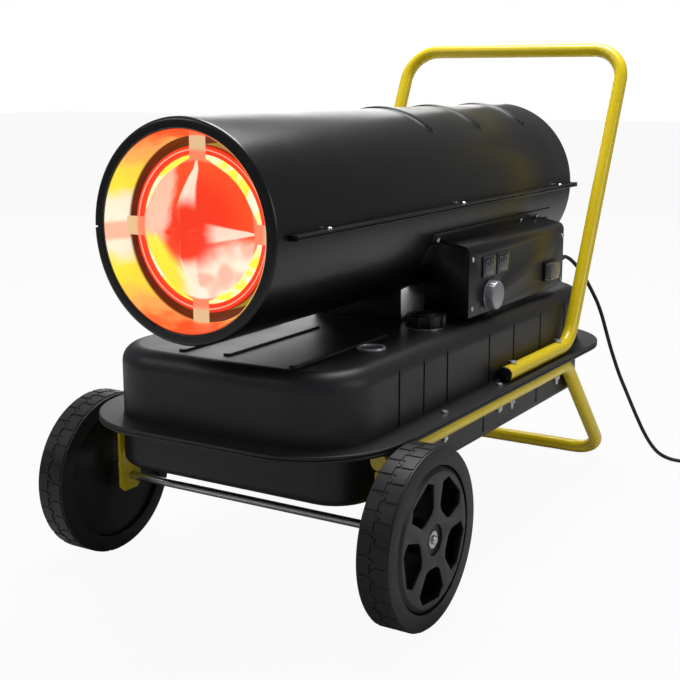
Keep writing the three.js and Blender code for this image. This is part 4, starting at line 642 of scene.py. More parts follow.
    def bent(
        self, name: str, corners: Sequence[Point], bends: Sequence[float], radius: float
    ) -> Any:
        """Run a round tube along straight lines with round bends between them.

        Args:
            name: The piece's name.
            corners: Where the straight lines start, meet and end.
            bends: Bend radius at each inner corner.
            radius: The tube's radius.

        Returns:
            The object.
        """
        points = [at(*corner) for corner in corners]
        heading = (points[1] - points[0]).normalized()
        self.release()
        bpy.ops.mesh.primitive_circle_add(
            vertices=32,
            radius=radius * MM,
            location=points[0],
            rotation=heading.to_track_quat("Z", "Y").to_euler(),
        )
        piece = self.settle(name)
        self.enter(piece)
        here = points[0]
        for index, bend in enumerate(bends, start=1):
            before = (points[index] - points[index - 1]).normalized()
            after = (points[index + 1] - points[index]).normalized()
            turn = before.angle(after)
            back = bend * MM * math.tan(turn / 2)
            stop = points[index] - before * back
            bpy.ops.mesh.extrude_edges_move(TRANSFORM_OT_translate={"value": stop - here})
            normal = before.cross(after).normalized()
            middle = stop + normal.cross(before) * bend * MM
            bpy.ops.mesh.spin(steps=14, angle=-turn, center=middle, axis=normal)
            here = points[index] + after * back
        bpy.ops.mesh.extrude_edges_move(TRANSFORM_OT_translate={"value": points[-1] - here})
        return self.close(name)

    def block(self, name: str, low: Point, high: Point) -> Any:
        """Make a straight block.

        Args:
            name: The piece's name.
            low: Its lowest corner.
            high: Its highest corner.

        Returns:
            The object.
        """
        self.release()
        middle = (at(*low) + at(*high)) / 2
        bpy.ops.mesh.primitive_cube_add(size=1.0, location=middle, scale=at(*high) - at(*low))
        return self.settle(name)

    def round_edges(
        self, piece: Any, test: Callable[[Any], bool], width: float, segments: int
    ) -> Any:
        """Round the edges of a piece that pass a test.

        Args:
            piece: The object.
            test: Tells whether an edge is wanted.
            width: The rounding's radius.
            segments: Its segments.

        Returns:
            The same object.
        """
        self.enter(piece)
        self.choose("EDGE", test)
        bpy.ops.mesh.bevel(offset=width * MM, segments=segments, profile=0.5)
        self.tidy()
        return self.smooth(self.settle(piece.name))

    def soften(self, piece: Any, width: float, segments: int = 2, angle: float = 35.0) -> Any:
        """Break a piece's sharp edges.

        Args:
            piece: The object.
            width: Width of the broken edge.
            segments: Its segments.
            angle: Degrees above which an edge is sharp.

        Returns:
            The same object.
        """
        self.hold(piece)
        edge = piece.modifiers.new("edges", "BEVEL")
        edge.width = width * MM
        edge.segments = segments
        edge.limit_method = "ANGLE"
        edge.angle_limit = math.radians(angle)
        bpy.ops.object.modifier_apply(modifier=edge.name)
        return self.smooth(piece)

    def combine(self, piece: Any, other: Any, operation: str = "UNION") -> Any:
        """Join a second body to a piece, or cut it away.

        Args:
            piece: The object that stays.
            other: The object that is used up.
            operation: UNION or DIFFERENCE.

        Returns:
            The piece.
        """
        self.hold(piece)
        change = piece.modifiers.new("change", "BOOLEAN")
        change.operation = operation
        change.object = other
        change.solver = "EXACT"
        bpy.ops.object.modifier_apply(modifier=change.name)
        bpy.data.objects.remove(other)
        return piece

    def joined(self, name: str, pieces: Sequence[Any]) -> Any:
        """Make several meshes one object.

        Args:
            name: The new name.
            pieces: The objects.

        Returns:
            The object.
        """
        self.hold(pieces[0])
        for piece in pieces:
            piece.select_set(True)
        bpy.ops.object.join()
        return self.settle(name)

    def again(self, piece: Any, name: str, place: Vector, heading: Vector | None = None) -> Any:
        """Copy a piece to another place.

        Args:
            piece: The object.
            name: The copy's name.
            place: How far it goes, in metres.
            heading: Where its +Z then points.

        Returns:
            The copy, with a mesh of its own.
        """
        self.hold(piece)
        bpy.ops.object.duplicate(linked=False)
        copy = bpy.context.object
        copy.location = place
        if heading is not None:
            copy.rotation_euler = heading.to_track_quat("Z", "Y").to_euler()
        return self.settle(name)

    def refined(self, node: str, width: float = 0.5, segments: int = 2) -> Any:
        """Copy a CAD node, merge its faces and break its edges.

        Args:
            node: The CAD node's name.
            width: Width of the broken edges, 0 for none.
            segments: Their segments.

        Returns:
            The copy, which stands for the node.
        """
        self.hold(frame["nodes"][node])
        bpy.ops.object.duplicate(linked=False)
        copy = bpy.context.object
        for key in [key for key in copy.keys() if key.startswith("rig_")]:
            del copy[key]
        copy.parent = None
        piece = self.settle(node + "_fine")
        self.enter(piece)
        bpy.ops.mesh.remove_doubles(threshold=0.01 * MM)
        bpy.ops.mesh.dissolve_limited(angle_limit=math.radians(1.0))
        self.tidy()
        self.settle(piece.name)
        if width:
            self.soften(piece, width, segments)
        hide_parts(node)
        return self.smooth(piece)


@dataclass
class Assembly:
    """A group of pieces that are built together.

    Attributes:
        shop: Where they are modelled.
        palette: Where they get their finish.
    """

    shop: Workshop
    palette: Palette

    def ready(self, piece: Any, body: str, paint: Paint | Any, *nodes: str) -> Any:
        """Finish a new piece.

        Args:
            piece: The object.
            body: The body that carries it.
            paint: Its finish or its material.
            nodes: CAD nodes that it stands for.

        Returns:
            The object.
        """
        if isinstance(paint, Paint):
            self.palette.coat(piece, paint)
        else:
            self.palette.wear(piece, paint)
        if nodes:
            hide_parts(*nodes)
        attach(piece, body)
        LOG.info("%s: %d faces", piece.name, len(getattr(piece.data, "polygons", [])))
        return piece

    def fine(
        self, node: str, paint: Paint, width: float = 0.8, segments: int = 3, body: str = "chassis"
    ) -> Any:
        """Dress a CAD node as its refined copy."""
        return self.ready(self.shop.refined(node, width, segments), body, paint)


# ------------------------------------------------------------------ sub-assemblies


@dataclass
class Barrel(Assembly):
    """The two half shells with their side flanges and raised ribs.

    Attributes:
        radius: Outer radius.
        front: Outlet face.
        back: Rear face.
        ribs: Places of the raised ribs.
        rib_steps: Rings across a rib, from its middle.
        sheet: Sheet thickness.
        mouth: Radius of the outlet's opening.
        roll: Radius of the rolled outlet rim.
        tail: Radius of the rear opening.
        bend: Radius of the rear bend.
        edge: How far the side flanges reach from the axis.
        flange_run: Where the side flanges begin and end.
        hem: Height of a side flange.
        seam: Half the gap between the halves.
    """

    radius: float = 148.0
    front: float = -526.0
    back: float = 461.0
    ribs: tuple[float, ...] = (-14.0, 161.0, 346.0)
    rib_steps: tuple[float, ...] = (-8, -5.5, -2.5, 2.5, 5.5, 8)
    sheet: float = 2.0
    mouth: float = 132.5
    roll: float = 6.0
    tail: float = 130.0
    bend: float = 8.0
    edge: float = 161.0
    flange_run: tuple[float, float] = (-496, 459)
    hem: float = 3.7
    seam: float = 0.15

    def outline(self) -> list[tuple[float, float]]:
        """Draw the sheet's section from the rolled outlet rim to the rear rim.

        Returns:
            Points as place along the barrel and radius.
        """
        front, back, radius, sheet = self.front, self.back, self.radius, self.sheet
        mouth, roll, tail, bend = self.mouth, self.roll, self.tail, self.bend
        face = radius - roll
        angles = [math.radians(15 * step) for step in range(7)]
        outer = [(front + roll, mouth), (front + 1.5, mouth), (front, mouth + 1.7), (front, face)]
        outer += [
            (front + roll - roll * math.cos(a), face + roll * math.sin(a)) for a in angles[1:]
        ]
        outer += [(rib + step, radius) for rib in self.ribs for step in self.rib_steps]
        outer += [
            (back - bend + bend * math.sin(a), radius - bend + bend * math.cos(a)) for a in angles
        ]
        outer += [(back, tail + 1.5), (back - 1.5, tail), (back - roll, tail)]
        inner = [(back - roll, tail + sheet), (back - sheet, tail + sheet)]
        inner += [(back - sheet, radius - bend), (back - bend, radius - sheet)]
        inner += [(front + roll, radius - sheet), (front + sheet, face)]
        inner += [(front + sheet, mouth + sheet), (front + roll, mouth + sheet)]
        return outer + inner

    def half(self, name: str, start: float) -> Any:
        """Build a half shell.

        Args:
            name: The piece's name.
            start: 0 for the upper half and 180 for the lower half.

        Returns:
            The object.
        """
        shop = self.shop
        shell = shop.turned(name, self.outline(), "Y", BARREL, start, 180, 96)
        base = AXIS_Z + (self.seam if start == 0 else -self.seam - self.hem)
        for side in (1, -1):
            edge = side * self.edge
            low, high = sorted((side * (self.radius - 1.5), edge))
            first, last = self.flange_run
            flange = shop.block("flange", (low, first, base), (high, last, base + self.hem))
            shop.round_edges(flange, lambda part, edge=edge: shop.level(part, 0, edge), 1.8, 4)
            shop.combine(shell, flange)
            low, high = sorted((side * 138, side * 150))
            depth = self.front + (8 if side < 0 else 1)
            slit = shop.block("slit", (low, self.front - 2, 525.4), (high, depth, 528.4))
            shop.combine(shell, slit, "DIFFERENCE")
        return shell

    def crest(self, vertex: Any, rib: float) -> bool:
        """Tell whether a point of the upper half lies on a rib.

        Args:
            vertex: The point.
            rib: The rib's place along the barrel.

        Returns:
            True on the rib.
        """
        x, y, z = (c / MM for c in vertex.co)
        lean = math.degrees(math.atan2(abs(x), z - AXIS_Z))
        outside = math.hypot(x, z - AXIS_Z) > self.radius - 0.5
        return outside and lean < 41 and abs(y - rib) < 4

    def raise_ribs(self, shell: Any) -> None:
        """Press the ribs of the upper half outwards.

        Args:
            shell: The upper half.
        """
        self.shop.enter(shell)
        for rib in self.ribs:
            self.shop.choose("VERT", lambda vertex, rib=rib: self.crest(vertex, rib))
            bpy.ops.transform.resize(
                value=(1.0202, 1.0, 1.0202), center_override=at(0, rib, AXIS_Z)
            )
        self.shop.tidy()
        self.shop.settle(shell.name)
        self.shop.smooth(shell, 40)

    def build(self) -> None:
        """Build both halves, the rear guard and the saddles."""
        upper = self.half("barrel_upper", 0)
        self.raise_ribs(upper)
        self.ready(upper, "chassis", Paint.BLACK, "upper_shell")
        lower = self.half("barrel_lower", 180)
        self.ready(self.shop.smooth(lower, 40), "chassis", Paint.BLACK, "lower_shell")
        self.fine("rear_guard", Paint.BLACK, segments=2)
        for node in ("front_support", "rear_support"):
            self.fine(node, Paint.CHARCOAL, segments=2)


@dataclass
class Outlet(Assembly):
    """The liner, chamber and deflector behind the outlet rim, coloured with painted glow."""

    # Paints glow, highlights and shade onto the outlet's sheets as emission.
    heat: OutletGlow = field(default_factory=OutletGlow)

    def build(self) -> None:
        """Build the outlet's sheets."""
        liner = [(-522.3, 132.2), (-520, 131.6), (-489, 124), (36, 124)]
        liner += [(36, 122.6), (-488.6, 122.6), (-519.6, 130.2), (-522.3, 130.8)]
        piece = self.shop.turned("liner", liner, "Y", BARREL)
        self.ready(piece, "chassis", self.heat.liner(), "heat_shield")
        chamber = [(-54, 0), (-54, 110.5), (-479, 110.5), (-483.5, 109.2), (-485.4, 106.8)]
        chamber += [(-483.6, 104.6), (-485.6, 102), (-484.5, 99), (-481, 98), (-478, 99.5)]
        chamber += [(-479, 108.8), (-56, 108.8), (-56, 0)]
        piece = self.shop.turned("chamber", chamber, "Y", BARREL)
        self.ready(piece, "chassis", self.heat.chamber(), "combustion_chamber")
        disc = self.shop.refined("flame_deflector", 0.0)
        self.ready(disc, "chassis", self.heat.deflector())


@dataclass
class Tank(Assembly):
    """The two pressed halves of the fuel tank with their flange.

    Attributes:
        grooves: Places of the upper half's side grooves.
        lower_grooves: Places of the lower half's side grooves.
        groove: Width of a groove.
        ribs: Each top rib's x, front and back.
        rib: Width of a top rib.
        top: Height of the tank's top.
        rim: Half the flange's width, its front and its back.
    """

    grooves: tuple[float, ...] = (-316, -243, -169, -22, 73, 185, 296)
    lower_grooves: tuple[float, ...] = (-49, 165)
    groove: float = 5.0
    ribs: tuple[Point, ...] = ((-75, -439, -194), (-5, -429, -194), (113, -442, -189))
    rib: float = 14.0
    top: float = 346.9
    rim: Point = (244.5, -516.5, 490)

    def pan(self, name: str, low: Point, high: Point, corner: float, shoulder: float) -> Any:
        """Press one half as a block with round corners and one round rim.

        Args:
            name: The piece's name.
            low: Its lowest corner.
            high: Its highest corner.
            corner: Radius of the upright corners.
            shoulder: Radius of the far rim.

        Returns:
            The object.
        """
        pan = self.shop.block(name, low, high)
        self.shop.round_edges(pan, self.upright, corner, 20)
        far = high[2] if high[2] == self.top else low[2]
        return self.shop.round_edges(pan, lambda edge: self.shop.level(edge, 2, far), shoulder, 10)

    @staticmethod
    def upright(edge: Any) -> bool:
        """Tell whether an edge stands upright."""
        first, second = (v.co for v in edge.verts)
        return abs(first.z - second.z) > 0.9 * (first - second).length

    def score(self, pan: Any, places: Sequence[float], bed: float, low: float, high: float) -> None:
        """Cut upright grooves into both sides of a half.

        Args:
            pan: The half.
            places: Where they lie along the tank.
            bed: How far their bed is from the middle.
            low: Their lower end.
            high: Their upper end.
        """
        wide = self.groove / 2
        for place in places:
            for side in (-1, 1):
                near, far = sorted((side * bed, side * (bed + 10.4)))
                cutter = self.shop.block("groove", (near, place - wide, low), (far, place + wide, high))
                self.shop.combine(pan, cutter, "DIFFERENCE")

    def flange(self, pan: Any, low: float, high: float) -> None:
        """Join the flange to a half.

        Args:
            pan: The half.
            low: The flange's underside.
            high: Its top.
        """
        half, front, back = self.rim
        plate = self.shop.block("flange", (-half, front, low), (half, back, high))
        self.shop.round_edges(plate, self.upright, 146, 24)
        self.shop.combine(pan, self.shop.soften(plate, 1.8, 3))

    def build(self) -> None:
        """Build both halves, the cap and the gauge's bezel."""
        top = self.top
        upper = self.pan("tank_top", (-206.3, -475, 244), (206.3, 449, top), 98.5, 25)
        self.score(upper, self.grooves, 204.6, 250, 330)
        self.flange(upper, 243, 247.9)
        wide = self.rib / 2
        for x, front, back in self.ribs:
            rib = self.shop.block("rib", (x - wide, front, 340), (x + wide, back, top + 3))
            self.shop.round_edges(rib, self.upright, 6.5, 6)
            self.shop.soften(rib, 2.4, 3)
            self.shop.combine(upper, rib)
        self.ready(self.shop.smooth(upper, 40), "chassis", Paint.CHARCOAL, "tank_upper")
        lower = self.pan("tank_base", (-211.2, -450, 162.8), (211.2, 401, 241), 64, 14)
        self.score(lower, self.lower_grooves, 209.6, 176, 234)
        self.flange(lower, 237.8, 242.7)
        self.ready(self.shop.smooth(lower, 40), "chassis", Paint.CHARCOAL, "tank_lower")
        self.fine("fuel_cap", Paint.PLASTIC, 1.0, body="cap")
        ring = [(0, 16), (0, 20), (2.1, 20.8), (4.5, 19.8), (4.5, 16.4), (3, 15.8)]
        bezel = self.shop.turned("gauge_bezel", ring, "Z", (146, -289, top))
        self.ready(bezel, "chassis", Paint.SILVER)


@dataclass
class Chassis(Assembly):
    """The bent frame and handle with the axle and its fixings.

    Attributes:
        rail: How far the tubes lie from the middle.
        tube: Radius of the frame's tube.
        grip: Radius of the handle's tube.
        axle: Half the axle's length.
        bolts: Places along the rails where the tank is bolted on.
    """

    rail: float = 224.0
    tube: float = 12.5
    grip: float = 12.2
    axle: float = 300.9
    bolts: tuple[float, ...] = (-211, -19)

    def loop(self, node: str, side: Sequence[Point], bends: tuple[float, float], radius: float) -> Any:
        """Bend a tube that runs along both sides and across.

        Args:
            node: The CAD node that it stands for.
            side: Its corners on the right side.
            bends: Radius of the first and of the second bend.
            radius: The tube's radius.

        Returns:
            The object.
        """
        name = node.removeprefix("support_") + "_tube"
        path = [*side, *((-x, y, z) for x, y, z in reversed(side))]
        piece = self.shop.bent(name, path, (*bends, *reversed(bends)), radius)
        return self.ready(piece, "chassis", Paint.YELLOW, node)

    def build(self) -> None:
        """Build tubes, axle and fixings."""
        rail, end = self.rail, self.axle
        side = [(rail, -404, 225), (rail, 266, 225), (rail, 473, self.tube)]
        self.loop("support_frame", side, (50, 55), self.tube)
        side = [(rail, 2, 260.7), (rail, 274.5, 260.7), (rail, 513.5, 773.7)]
        self.loop("handle", side, (55, 60), self.grip)
        shaft = [(-end, 0), (-end, 4.8), (-299.8, 6), (299.8, 6), (end, 4.8), (end, 0)]
        shaft = self.shop.turned("axle_bar", shaft, "X", (0, AXLE_Y, AXLE_Z), steps=48)
        self.ready(shaft, "chassis", Paint.STEEL, "axle")
        for side in ("right", "left"):
            self.fine("axle_bracket_" + side, Paint.YELLOW)
            self.fine("end_cap_" + side, Paint.PLASTIC, 1.0)
            for node in ("front_bolt_", "rear_bolt_"):
                self.fine(node + side, Paint.ZINC, 0.5, 2)
        self.dress()

    def dress(self) -> None:
        """Add the bolts that hold the tank's flange to the rails."""
        head = [(247.9, 0), (247.9, 5.6), (250.2, 5.4), (251.4, 4.2), (251.8, 0)]
        tail = [(203, 0), (203.6, 3), (207, 3), (207, 5.8), (212.8, 5.8), (212.8, 0)]
        places = [(side * self.rail, y) for side in (1, -1) for y in self.bolts]
        for name, outline in (("rail_bolt", head), ("rail_nut", tail)):
            model = self.shop.turned(name, outline, "Z", (0, 0, 0), steps=24)
            for index, (x, y) in enumerate(places):
                piece = self.shop.again(model, f"{name}_{index}", at(x, y, 0))
                self.ready(piece, "chassis", Paint.ZINC)
            bpy.data.objects.remove(model)


@dataclass
class Wheel(Assembly):
    """A wheel with a treaded tyre.

    Attributes:
        side: 1 for the near wheel and -1 for the far one.
        steps: Steps round the tread, eight to a block.
        middle: How far the wheel's middle plane is from the heater's.
        seat: How far its hub's face is from there.
        bore: Radius of the hub washer's hole.
    """

    side: int = 1
    steps: int = 232
    middle: float = 274.0
    seat: float = 295.6
    bore: float = 6.4

    def tread(self, face: Any) -> bool:
        """Tell whether a face of the tyre belongs to a tread block.

        Args:
            face: A face of the open mesh.

        Returns:
            True in a block.
        """
        centre = face.calc_center_median() / MM
        y, z = centre.y - AXLE_Y, centre.z - AXLE_Z
        across = centre.x * self.side - self.middle
        step = int(math.degrees(math.atan2(z, y)) % 360 * self.steps / 360) % 8
        inner = (-21 < across < -3 and step != 7) or (-3 < across < 1.5 and step in (1, 2))
        outer = (3 < across < 21 and step != 3) or (-1.5 < across < 3 and step in (5, 6))
        return math.hypot(y, z) > 122 and (inner or outer)

    def build(self) -> None:
        """Build tyre, rim and hub washer."""
        name = "right" if self.side > 0 else "left"
        body = "wheel_" + name
        half = [(24, 101), (24, 120.6), (23.5, 122.2), (22.4, 123.2), (21, 123.3), (3, 123.3)]
        half += [(1.5, 123.3)]
        outline = [*half, *((-a, r) for a, r in reversed(half)), (-24, 100.2), (24, 100.2)]
        place = (self.side * self.middle, AXLE_Y, AXLE_Z)
        tyre = self.shop.turned("tyre_tread_" + name, outline, "X", place, steps=self.steps)
        self.shop.emboss(tyre, self.tread, 0.7, 1.5)
        self.ready(tyre, body, Paint.RUBBER, "tyre_" + name)
        self.fine("rim_" + name, Paint.WHEEL, body=body)
        seat, face = self.side * self.seat, self.side * (self.seat + 1.4)
        outline = [(seat, self.bore), (seat, 12), (face, 11.6), (face, self.bore)]
        washer = self.shop.turned("washer_" + name, outline, "X", (0, AXLE_Y, AXLE_Z), steps=40)
        self.ready(washer, "chassis", Paint.ZINC)


@dataclass
class ControlBox(Assembly):
    """The control box with its displays, knob, switch and screws.

    Attributes:
        plate: Where the plate's face lies.
        knob_at: The knob's y and z.
        knob_base: The knob's rear face.
        displays: Where the two displays begin along the plate.
        plate_screws: The y and z of the plate's screws.
        strip_screws: Places of the screws along the strip on the barrel.
        strip_lean: Degrees below level at which they point.
        flange_screws: Places of the screws along each side flange.
        flange_x: How far these lie from the middle.
    """

    plate: float = 187.0
    knob_at: tuple[float, float] = (14, 384.9)
    knob_base: float = 187.6
    displays: tuple[float, ...] = (-12.0, 40.0)
    plate_screws: tuple[tuple[float, float], ...] = ((-49, 448), (-49, 371), (322, 446), (321, 367))
    strip_screws: tuple[float, ...] = (-81, 236, 307)
    strip_lean: float = 18.5
    flange_screws: tuple[float, ...] = (-413, -17, 385)
    flange_x: float = 154.5

    def digit(self) -> Any:
        """Build the seven strokes of one digit round the origin, facing +X.

        Returns:
            The object.
        """
        bars = [((0, -4.2, z - 0.8), (0.3, 4.2, z + 0.8)) for z in (-9.2, 0.0, 9.2)]
        for y in (-5.0, 5.0):
            bars += [((0, y - 0.8, z - 3.8), (0.3, y + 0.8, z + 3.8)) for z in (-4.6, 4.6)]
        strokes = [self.shop.block(f"stroke_{k}", *bar) for k, bar in enumerate(bars)]
        return self.shop.joined("digit", strokes)

    def screw(self) -> Any:
        """Build a pan-head screw at the origin, facing +Z.

        Returns:
            The object.
        """
        head = [(0, 0), (0, 4.2), (1.2, 4.1), (2.2, 3.2), (2.8, 1.6), (3.0, 0)]
        screw = self.shop.turned("screw", head, "Z", (0, 0, 0), steps=24)
        for x, y in ((2.3, 0.5), (0.5, 2.3)):
            self.shop.combine(screw, self.shop.block("slot", (-x, -y, 1.8), (x, y, 4)), "DIFFERENCE")
        return screw

    def rib(self, face: Any) -> bool:
        """Tell whether a face of the knob's side belongs to a rib.

        Args:
            face: A face of the open mesh.

        Returns:
            True on a rib.
        """
        centre = face.calc_center_median() / MM
        y, z = self.knob_at
        angle = math.degrees(math.atan2(centre.z - z, centre.y - y)) % 360
        return 190 < centre.x < 202 and int(angle / 3.75) % 4 < 2

    def knob(self) -> Any:
        """Build the ribbed knob with its flat face.

        Returns:
            The object.
        """
        side = [(0, 0), (0, 22.9), (1, 23.4), (2.4, 22.4), (14.4, 22.2), (15.8, 21.6), (16.4, 20.4)]
        place = (self.knob_base, *self.knob_at)
        knob = self.shop.turned("knob_grip", [*side, (16.4, 0)], "X", place, steps=96)
        return self.shop.emboss(knob, self.rib, 0.25, 0.8)

    def boot(self) -> Any:
        """Build the clear cover over the switch.

        Returns:
            The object.
        """
        boot = self.shop.block("switch_boot", (190.3, 243, 376.5), (200, 285, 405.5))
        inside = self.shop.block("inside", (190, 244.2, 377.7), (198.8, 283.8, 404.3))
        self.shop.combine(boot, inside, "DIFFERENCE")
        return self.shop.soften(boot, 0.5, 2)

    def dress(self) -> None:
        """Place the screws."""
        screw = self.screw()
        places = [((self.plate, y, z), (1, 0, 0)) for y, z in self.plate_screws]
        lean = math.radians(-self.strip_lean)
        out = (math.cos(lean), 0, math.sin(lean))
        reach = 150.6
        places += [((reach * out[0], y, AXIS_Z + reach * out[2]), out) for y in self.strip_screws]
        for x in (-self.flange_x, self.flange_x):
            places += [((x, y, 530.6), (0, 0, 1)) for y in self.flange_screws]
        for index, (place, heading) in enumerate(places):
            piece = self.shop.again(screw, f"sheet_screw_{index}", at(*place), Vector(heading))
            self.ready(piece, "chassis", Paint.ZINC)
        bpy.data.objects.remove(screw)

    def show(self, digit: Any, index: int, front: float) -> None:
        """Build one display with its two digits.

        Args:
            digit: The digit to copy.
            index: The display's number.
            front: Where its opening begins.
        """
        low, high = (187.6, front - 1, 413.9), (189.4, front + 46, 447.9)
        bezel = self.shop.block(f"display_bezel_{index}", low, high)
        self.ready(self.shop.soften(bezel, 1.0, 3), "chassis", Paint.FRAME)
        low, high = (188.6, front + 2.5, 417), (189.7, front + 42.5, 444.8)
        pane = self.shop.block(f"display_pane_{index}", low, high)
        self.ready(self.shop.soften(pane, 0.5, 2), "chassis", Paint.WINDOW)
        for place in (13.5, 31.5):
            name = f"digit_{index}_{int(place)}"
            piece = self.shop.again(digit, name, at(189.6, front + place, 430.9))
            self.ready(piece, "chassis", Paint.DIGIT)

    def build(self) -> None:
        """Build the box, its plate and what it carries."""
        self.fine("control_housing", Paint.BLACK, segments=2)
        self.fine("control_plate", Paint.BLACK, 0.6)
        digit = self.digit()
        for index, front in enumerate(self.displays):
            self.show(digit, index, front)
        bpy.data.objects.remove(digit)
        self.ready(self.knob(), "knob", Paint.SILVER, "thermostat_knob")
        self.fine("switch_frame", Paint.PLASTIC)
        self.fine("rocker", Paint.PLASTIC, body="rocker_body")
        self.ready(self.boot(), "chassis", Paint.GLASS)
        self.dress()


@dataclass
class Cord(Assembly):
    """The mains cord from its gland to its plug, with a tied coil on the floor.

    Attributes:
        start: Where it leaves the gland, in metres.
        thickness: Its diameter.
        middle: The coil's middle.
        turns: The coil's turns, half of them on the floor and half on top.
        steps: Points round the coil.
        widest: Radius of the outermost turn.
        pitch: Step from turn to turn and from layer to layer.
        lie: Height of the lower layer's middle.
        plug: Height of the plug's middle.
    """

    start: Point = (0.176, 0.3581, 0.4019)
    thickness: float = 7.0
    middle: tuple[float, float] = (455, 845)
    turns: float = 5.25
    steps: int = 84
    widest: float = 48.5
    pitch: float = 7.6
    lie: float = 5.0
    plug: float = 18.3

    ROUTE = (
        (176.3, 755, 401), (177.3, 761, 399), (179.5, 767, 396), (183.8, 775.5, 389),
        (189, 783.5, 380), (194.5, 791, 369.5), (201, 798, 355.5), (211, 806, 333),
        (221, 811, 311), (229, 816, 286.5), (236, 820.5, 260), (243, 827, 230.5),
        (251, 835, 199.5), (260, 844, 168), (270, 854, 138), (280, 863, 109),
        (291, 871, 80), (302, 878, 54), (315, 884, 31), (330, 888, 14.5),
        (348, 891, 6.2), (367, 892.5, 4), (390, 893.3, 4.4), (415, 893.5, 4.9),
    )

    def coil(self) -> list[Point]:
        """Wind the coil.

        Returns:
            Points from the cord's arrival to the plug's sleeve.
        """
        points = []
        half = self.turns / 2
        for index in range(self.steps + 1):
            turn = self.turns * index / self.steps
            radius = self.widest - self.pitch * (half - abs(turn - half))
            angle = math.radians(90 - 360 * turn)
            climb = min(1.0, max(0.0, (turn - half + 0.25) / 0.5))
            late = min(1.0, max(0.0, (turn - self.turns + 0.25) / 0.25))
            rise = (self.plug - self.lie - self.pitch) * late * late * (3 - 2 * late)
            x = self.middle[0] + radius * math.cos(angle)
            y = self.middle[1] + radius * math.sin(angle)
            points.append((x, y, self.lie + self.pitch * climb + rise))
        return points

    def line(self) -> list[Vector]:
        """Lay a smooth line through the route and the coil.

        Returns:
            Points in metres, close together.
        """
        route = [*self.ROUTE, (445.7, 893.5, 5.0), *self.coil()[1:]]
        last = route[-1]
        route.append((last[0], last[1] - 9, last[2]))
        knots = [at(x, y + AXLE_Y, z) for x, y, z in route]
        knots.insert(0, Vector(self.start))
        line = []
        padded = [knots[0] * 2 - knots[1], *knots, knots[-1] * 2 - knots[-2]]
        for a, b, c, d in zip(padded, padded[1:], padded[2:], padded[3:]):
            times = [0.0]
            for p, q in ((a, b), (b, c), (c, d)):
                times.append(times[-1] + max(1e-6, (q - p).length) ** 0.5)
            for step in range(6):
                t = times[1] + (times[2] - times[1]) * step / 6
                line.append(self.between((a, b, c, d), times, t))
        return [*line, knots[-1]]

    @staticmethod
    def between(points: Sequence[Vector], times: Sequence[float], t: float) -> Vector:
        """Place a point on a centripetal curve through four points.

        Args:
            points: The four points.
            times: Their places on the curve.
            t: The wanted place.

        Returns:
            The point.
        """
        row = list(points)
        for spans in (((0, 1), (1, 2), (2, 3)), ((0, 2), (1, 3)), ((1, 2),)):
            shares = [(t - times[a]) / (times[b] - times[a]) for a, b in spans]
            row = [a.lerp(b, share) for a, b, share in zip(row, row[1:], shares)]
        return row[0]

    def build(self) -> None:
        """Lay the cord in place of its CAD nodes and give it its finish."""
        line = self.line()
        self.shop.release()
        bpy.ops.curve.primitive_nurbs_path_add()
        cord = bpy.context.object
        cord.name = "mains_cord"
        curve = cord.data
        curve.splines.clear()
        spline = curve.splines.new("POLY")
        spline.points.add(len(line) - 1)
        for point, place in zip(spline.points, line):
            point.co = (*place, 1.0)
        curve.dimensions = "3D"
        curve.bevel_depth = self.thickness / 2 * MM
        curve.bevel_resolution = 4
        curve.use_fill_caps = True
        length = sum((b - a).length for a, b in zip(line, line[1:]))
        LOG.info("cord length %.4f m", length)
        nodes = ("power_cord", "cord_coil")
        self.ready(cord, "chassis", Paint.CORD, *nodes)


@dataclass
class Carried(Assembly):
    """The CAD nodes that are shown as they are."""

    def dress(self) -> None:
        """Give every carried node the finish of its slot."""
        for part in frame["record"]["subparts"]:
            node = frame["nodes"].get(part["node"])
            if node is None or node.hide_render:
                continue
            self.shop.smooth(node)
            self.palette.coat(node, SLOTS[part["material_slot"]])


# ------------------------------------------------------------------ the picture


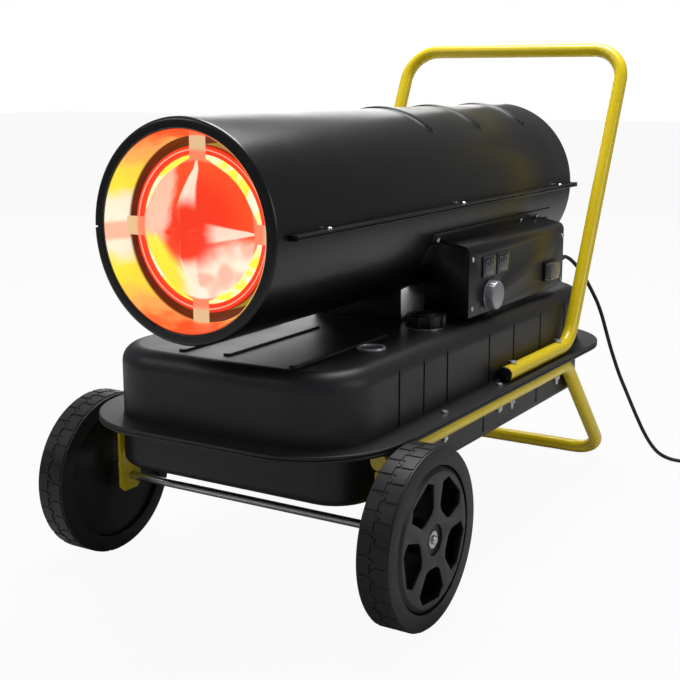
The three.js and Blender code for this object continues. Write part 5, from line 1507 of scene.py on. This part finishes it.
@dataclass
class Study(Assembly):
    """Camera, lights and ground.

    Attributes:
        eye: The camera's place.
        azimuth: Degrees from the outlet's front towards the controls.
        elevation: Degrees above level.
        lens: Focal length on a 36 mm sensor.
        lamps: Each lamp's name, place in metres, side in metres and power in watts.
    """

    eye: Point = (988.69, -1748.68, 718.52)
    azimuth: float = 31.5
    elevation: float = 11.99
    lens: float = 64.76
    lamps: tuple[tuple[str, Point, float, float], ...] = (
        ("overhead", (-0.3, 0.7, 3.0), 1.6, 100),
        ("front_left", (-2.2, -2.4, 2.6), 1.2, 14),
        ("right", (3.2, 0.2, 1.5), 1.4, 14),
        ("back", (-2.4, 3.6, 1.5), 2.0, 34),
    )

    def back(self) -> Vector:
        """Find the direction from the object to the camera."""
        a, e = math.radians(self.azimuth), math.radians(self.elevation)
        return Vector((math.sin(a) * math.cos(e), -math.cos(a) * math.cos(e), math.sin(e)))

    def camera(self) -> None:
        """Place the camera."""
        data = bpy.data.cameras.new("camera")
        data.lens = self.lens
        data.sensor_width = 36.0
        data.clip_end = 50.0
        camera = bpy.data.objects.new("camera", data)
        bpy.context.collection.objects.link(camera)
        camera.location = at(*self.eye)
        camera.rotation_euler = self.back().to_track_quat("Z", "Y").to_euler()
        bpy.context.scene.camera = camera
        camera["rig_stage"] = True

    def lamp(self, name: str, place: Point, size: float, power: float) -> None:
        """Hang a soft square light that faces the heater.

        Args:
            name: The light's name.
            place: Its place in metres.
            size: Its side in metres.
            power: Its power in watts.
        """
        data = bpy.data.lights.new(name, "AREA")
        data.size = size
        data.energy = power
        lamp = bpy.data.objects.new(name, data)
        bpy.context.collection.objects.link(lamp)
        lamp.location = place
        toward = Vector(place) - Vector((0.0, 0.0, 0.4))
        lamp.rotation_euler = toward.to_track_quat("Z", "Y").to_euler()
        lamp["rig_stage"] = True

    def ground(self) -> None:
        """Lay the pale floor."""
        self.shop.release()
        bpy.ops.mesh.primitive_plane_add(size=40.0)
        floor = self.shop.settle("floor")
        shader = Shader("floor")
        shader.set(Base_Color=(0.5, 0.5, 0.5), Roughness=0.9, Specular_IOR_Level=0.1)
        ray = shader.add("ShaderNodeLightPath", {}, {}, "Is Camera Ray")
        white = shader.add("ShaderNodeEmission", {}, {"Color": (1.0, 1.0, 1.0)})
        surface = Signal(shader, shader.surface.outputs[0])
        mixed = shader.add("ShaderNodeMixShader", {}, {0: ray * 0.94, 1: surface, 2: white})
        output = shader.tree.nodes["Material Output"]
        shader.feed(output.inputs["Surface"], mixed)
        self.palette.wear(floor, shader.material)
        floor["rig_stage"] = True

    def sky(self) -> None:
        """Light the scene from all round, with white behind it."""
        world = bpy.data.worlds.new("studio")
        world.use_nodes = True
        bpy.context.scene.world = world
        nodes, links = world.node_tree.nodes, world.node_tree.links
        soft = nodes["Background"]
        soft.inputs["Color"].default_value = (0.9, 0.92, 0.95, 1.0)
        soft.inputs["Strength"].default_value = 0.2
        white = nodes.new("ShaderNodeBackground")
        white.inputs["Color"].default_value = (1.0, 1.0, 1.0, 1.0)
        path = nodes.new("ShaderNodeLightPath")
        mix = nodes.new("ShaderNodeMixShader")
        links.new(path.outputs["Is Camera Ray"], mix.inputs[0])
        links.new(soft.outputs[0], mix.inputs[1])
        links.new(white.outputs[0], mix.inputs[2])
        links.new(mix.outputs[0], nodes["World Output"].inputs["Surface"])

    def build(self) -> None:
        """Set up the picture."""
        self.camera()
        for lamp in self.lamps:
            self.lamp(*lamp)
        self.ground()
        self.sky()
        bpy.context.scene.view_settings.view_transform = "Standard"


def corners() -> list[list[float]]:
    """Read the box of all shown pieces."""
    return [[float(value) for value in corner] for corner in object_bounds()]


def main() -> None:
    """Build the heater and its picture."""
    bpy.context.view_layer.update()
    shop, palette = Workshop(), Palette()
    for part in (Barrel, Outlet, Tank, Chassis, ControlBox, Cord):
        part(shop, palette).build()
    for side in (1, -1):
        Wheel(shop, palette, side).build()
    Carried(shop, palette).dress()
    Study(shop, palette).build()
    bpy.context.view_layer.update()


if __name__ == "__main__":
    main()
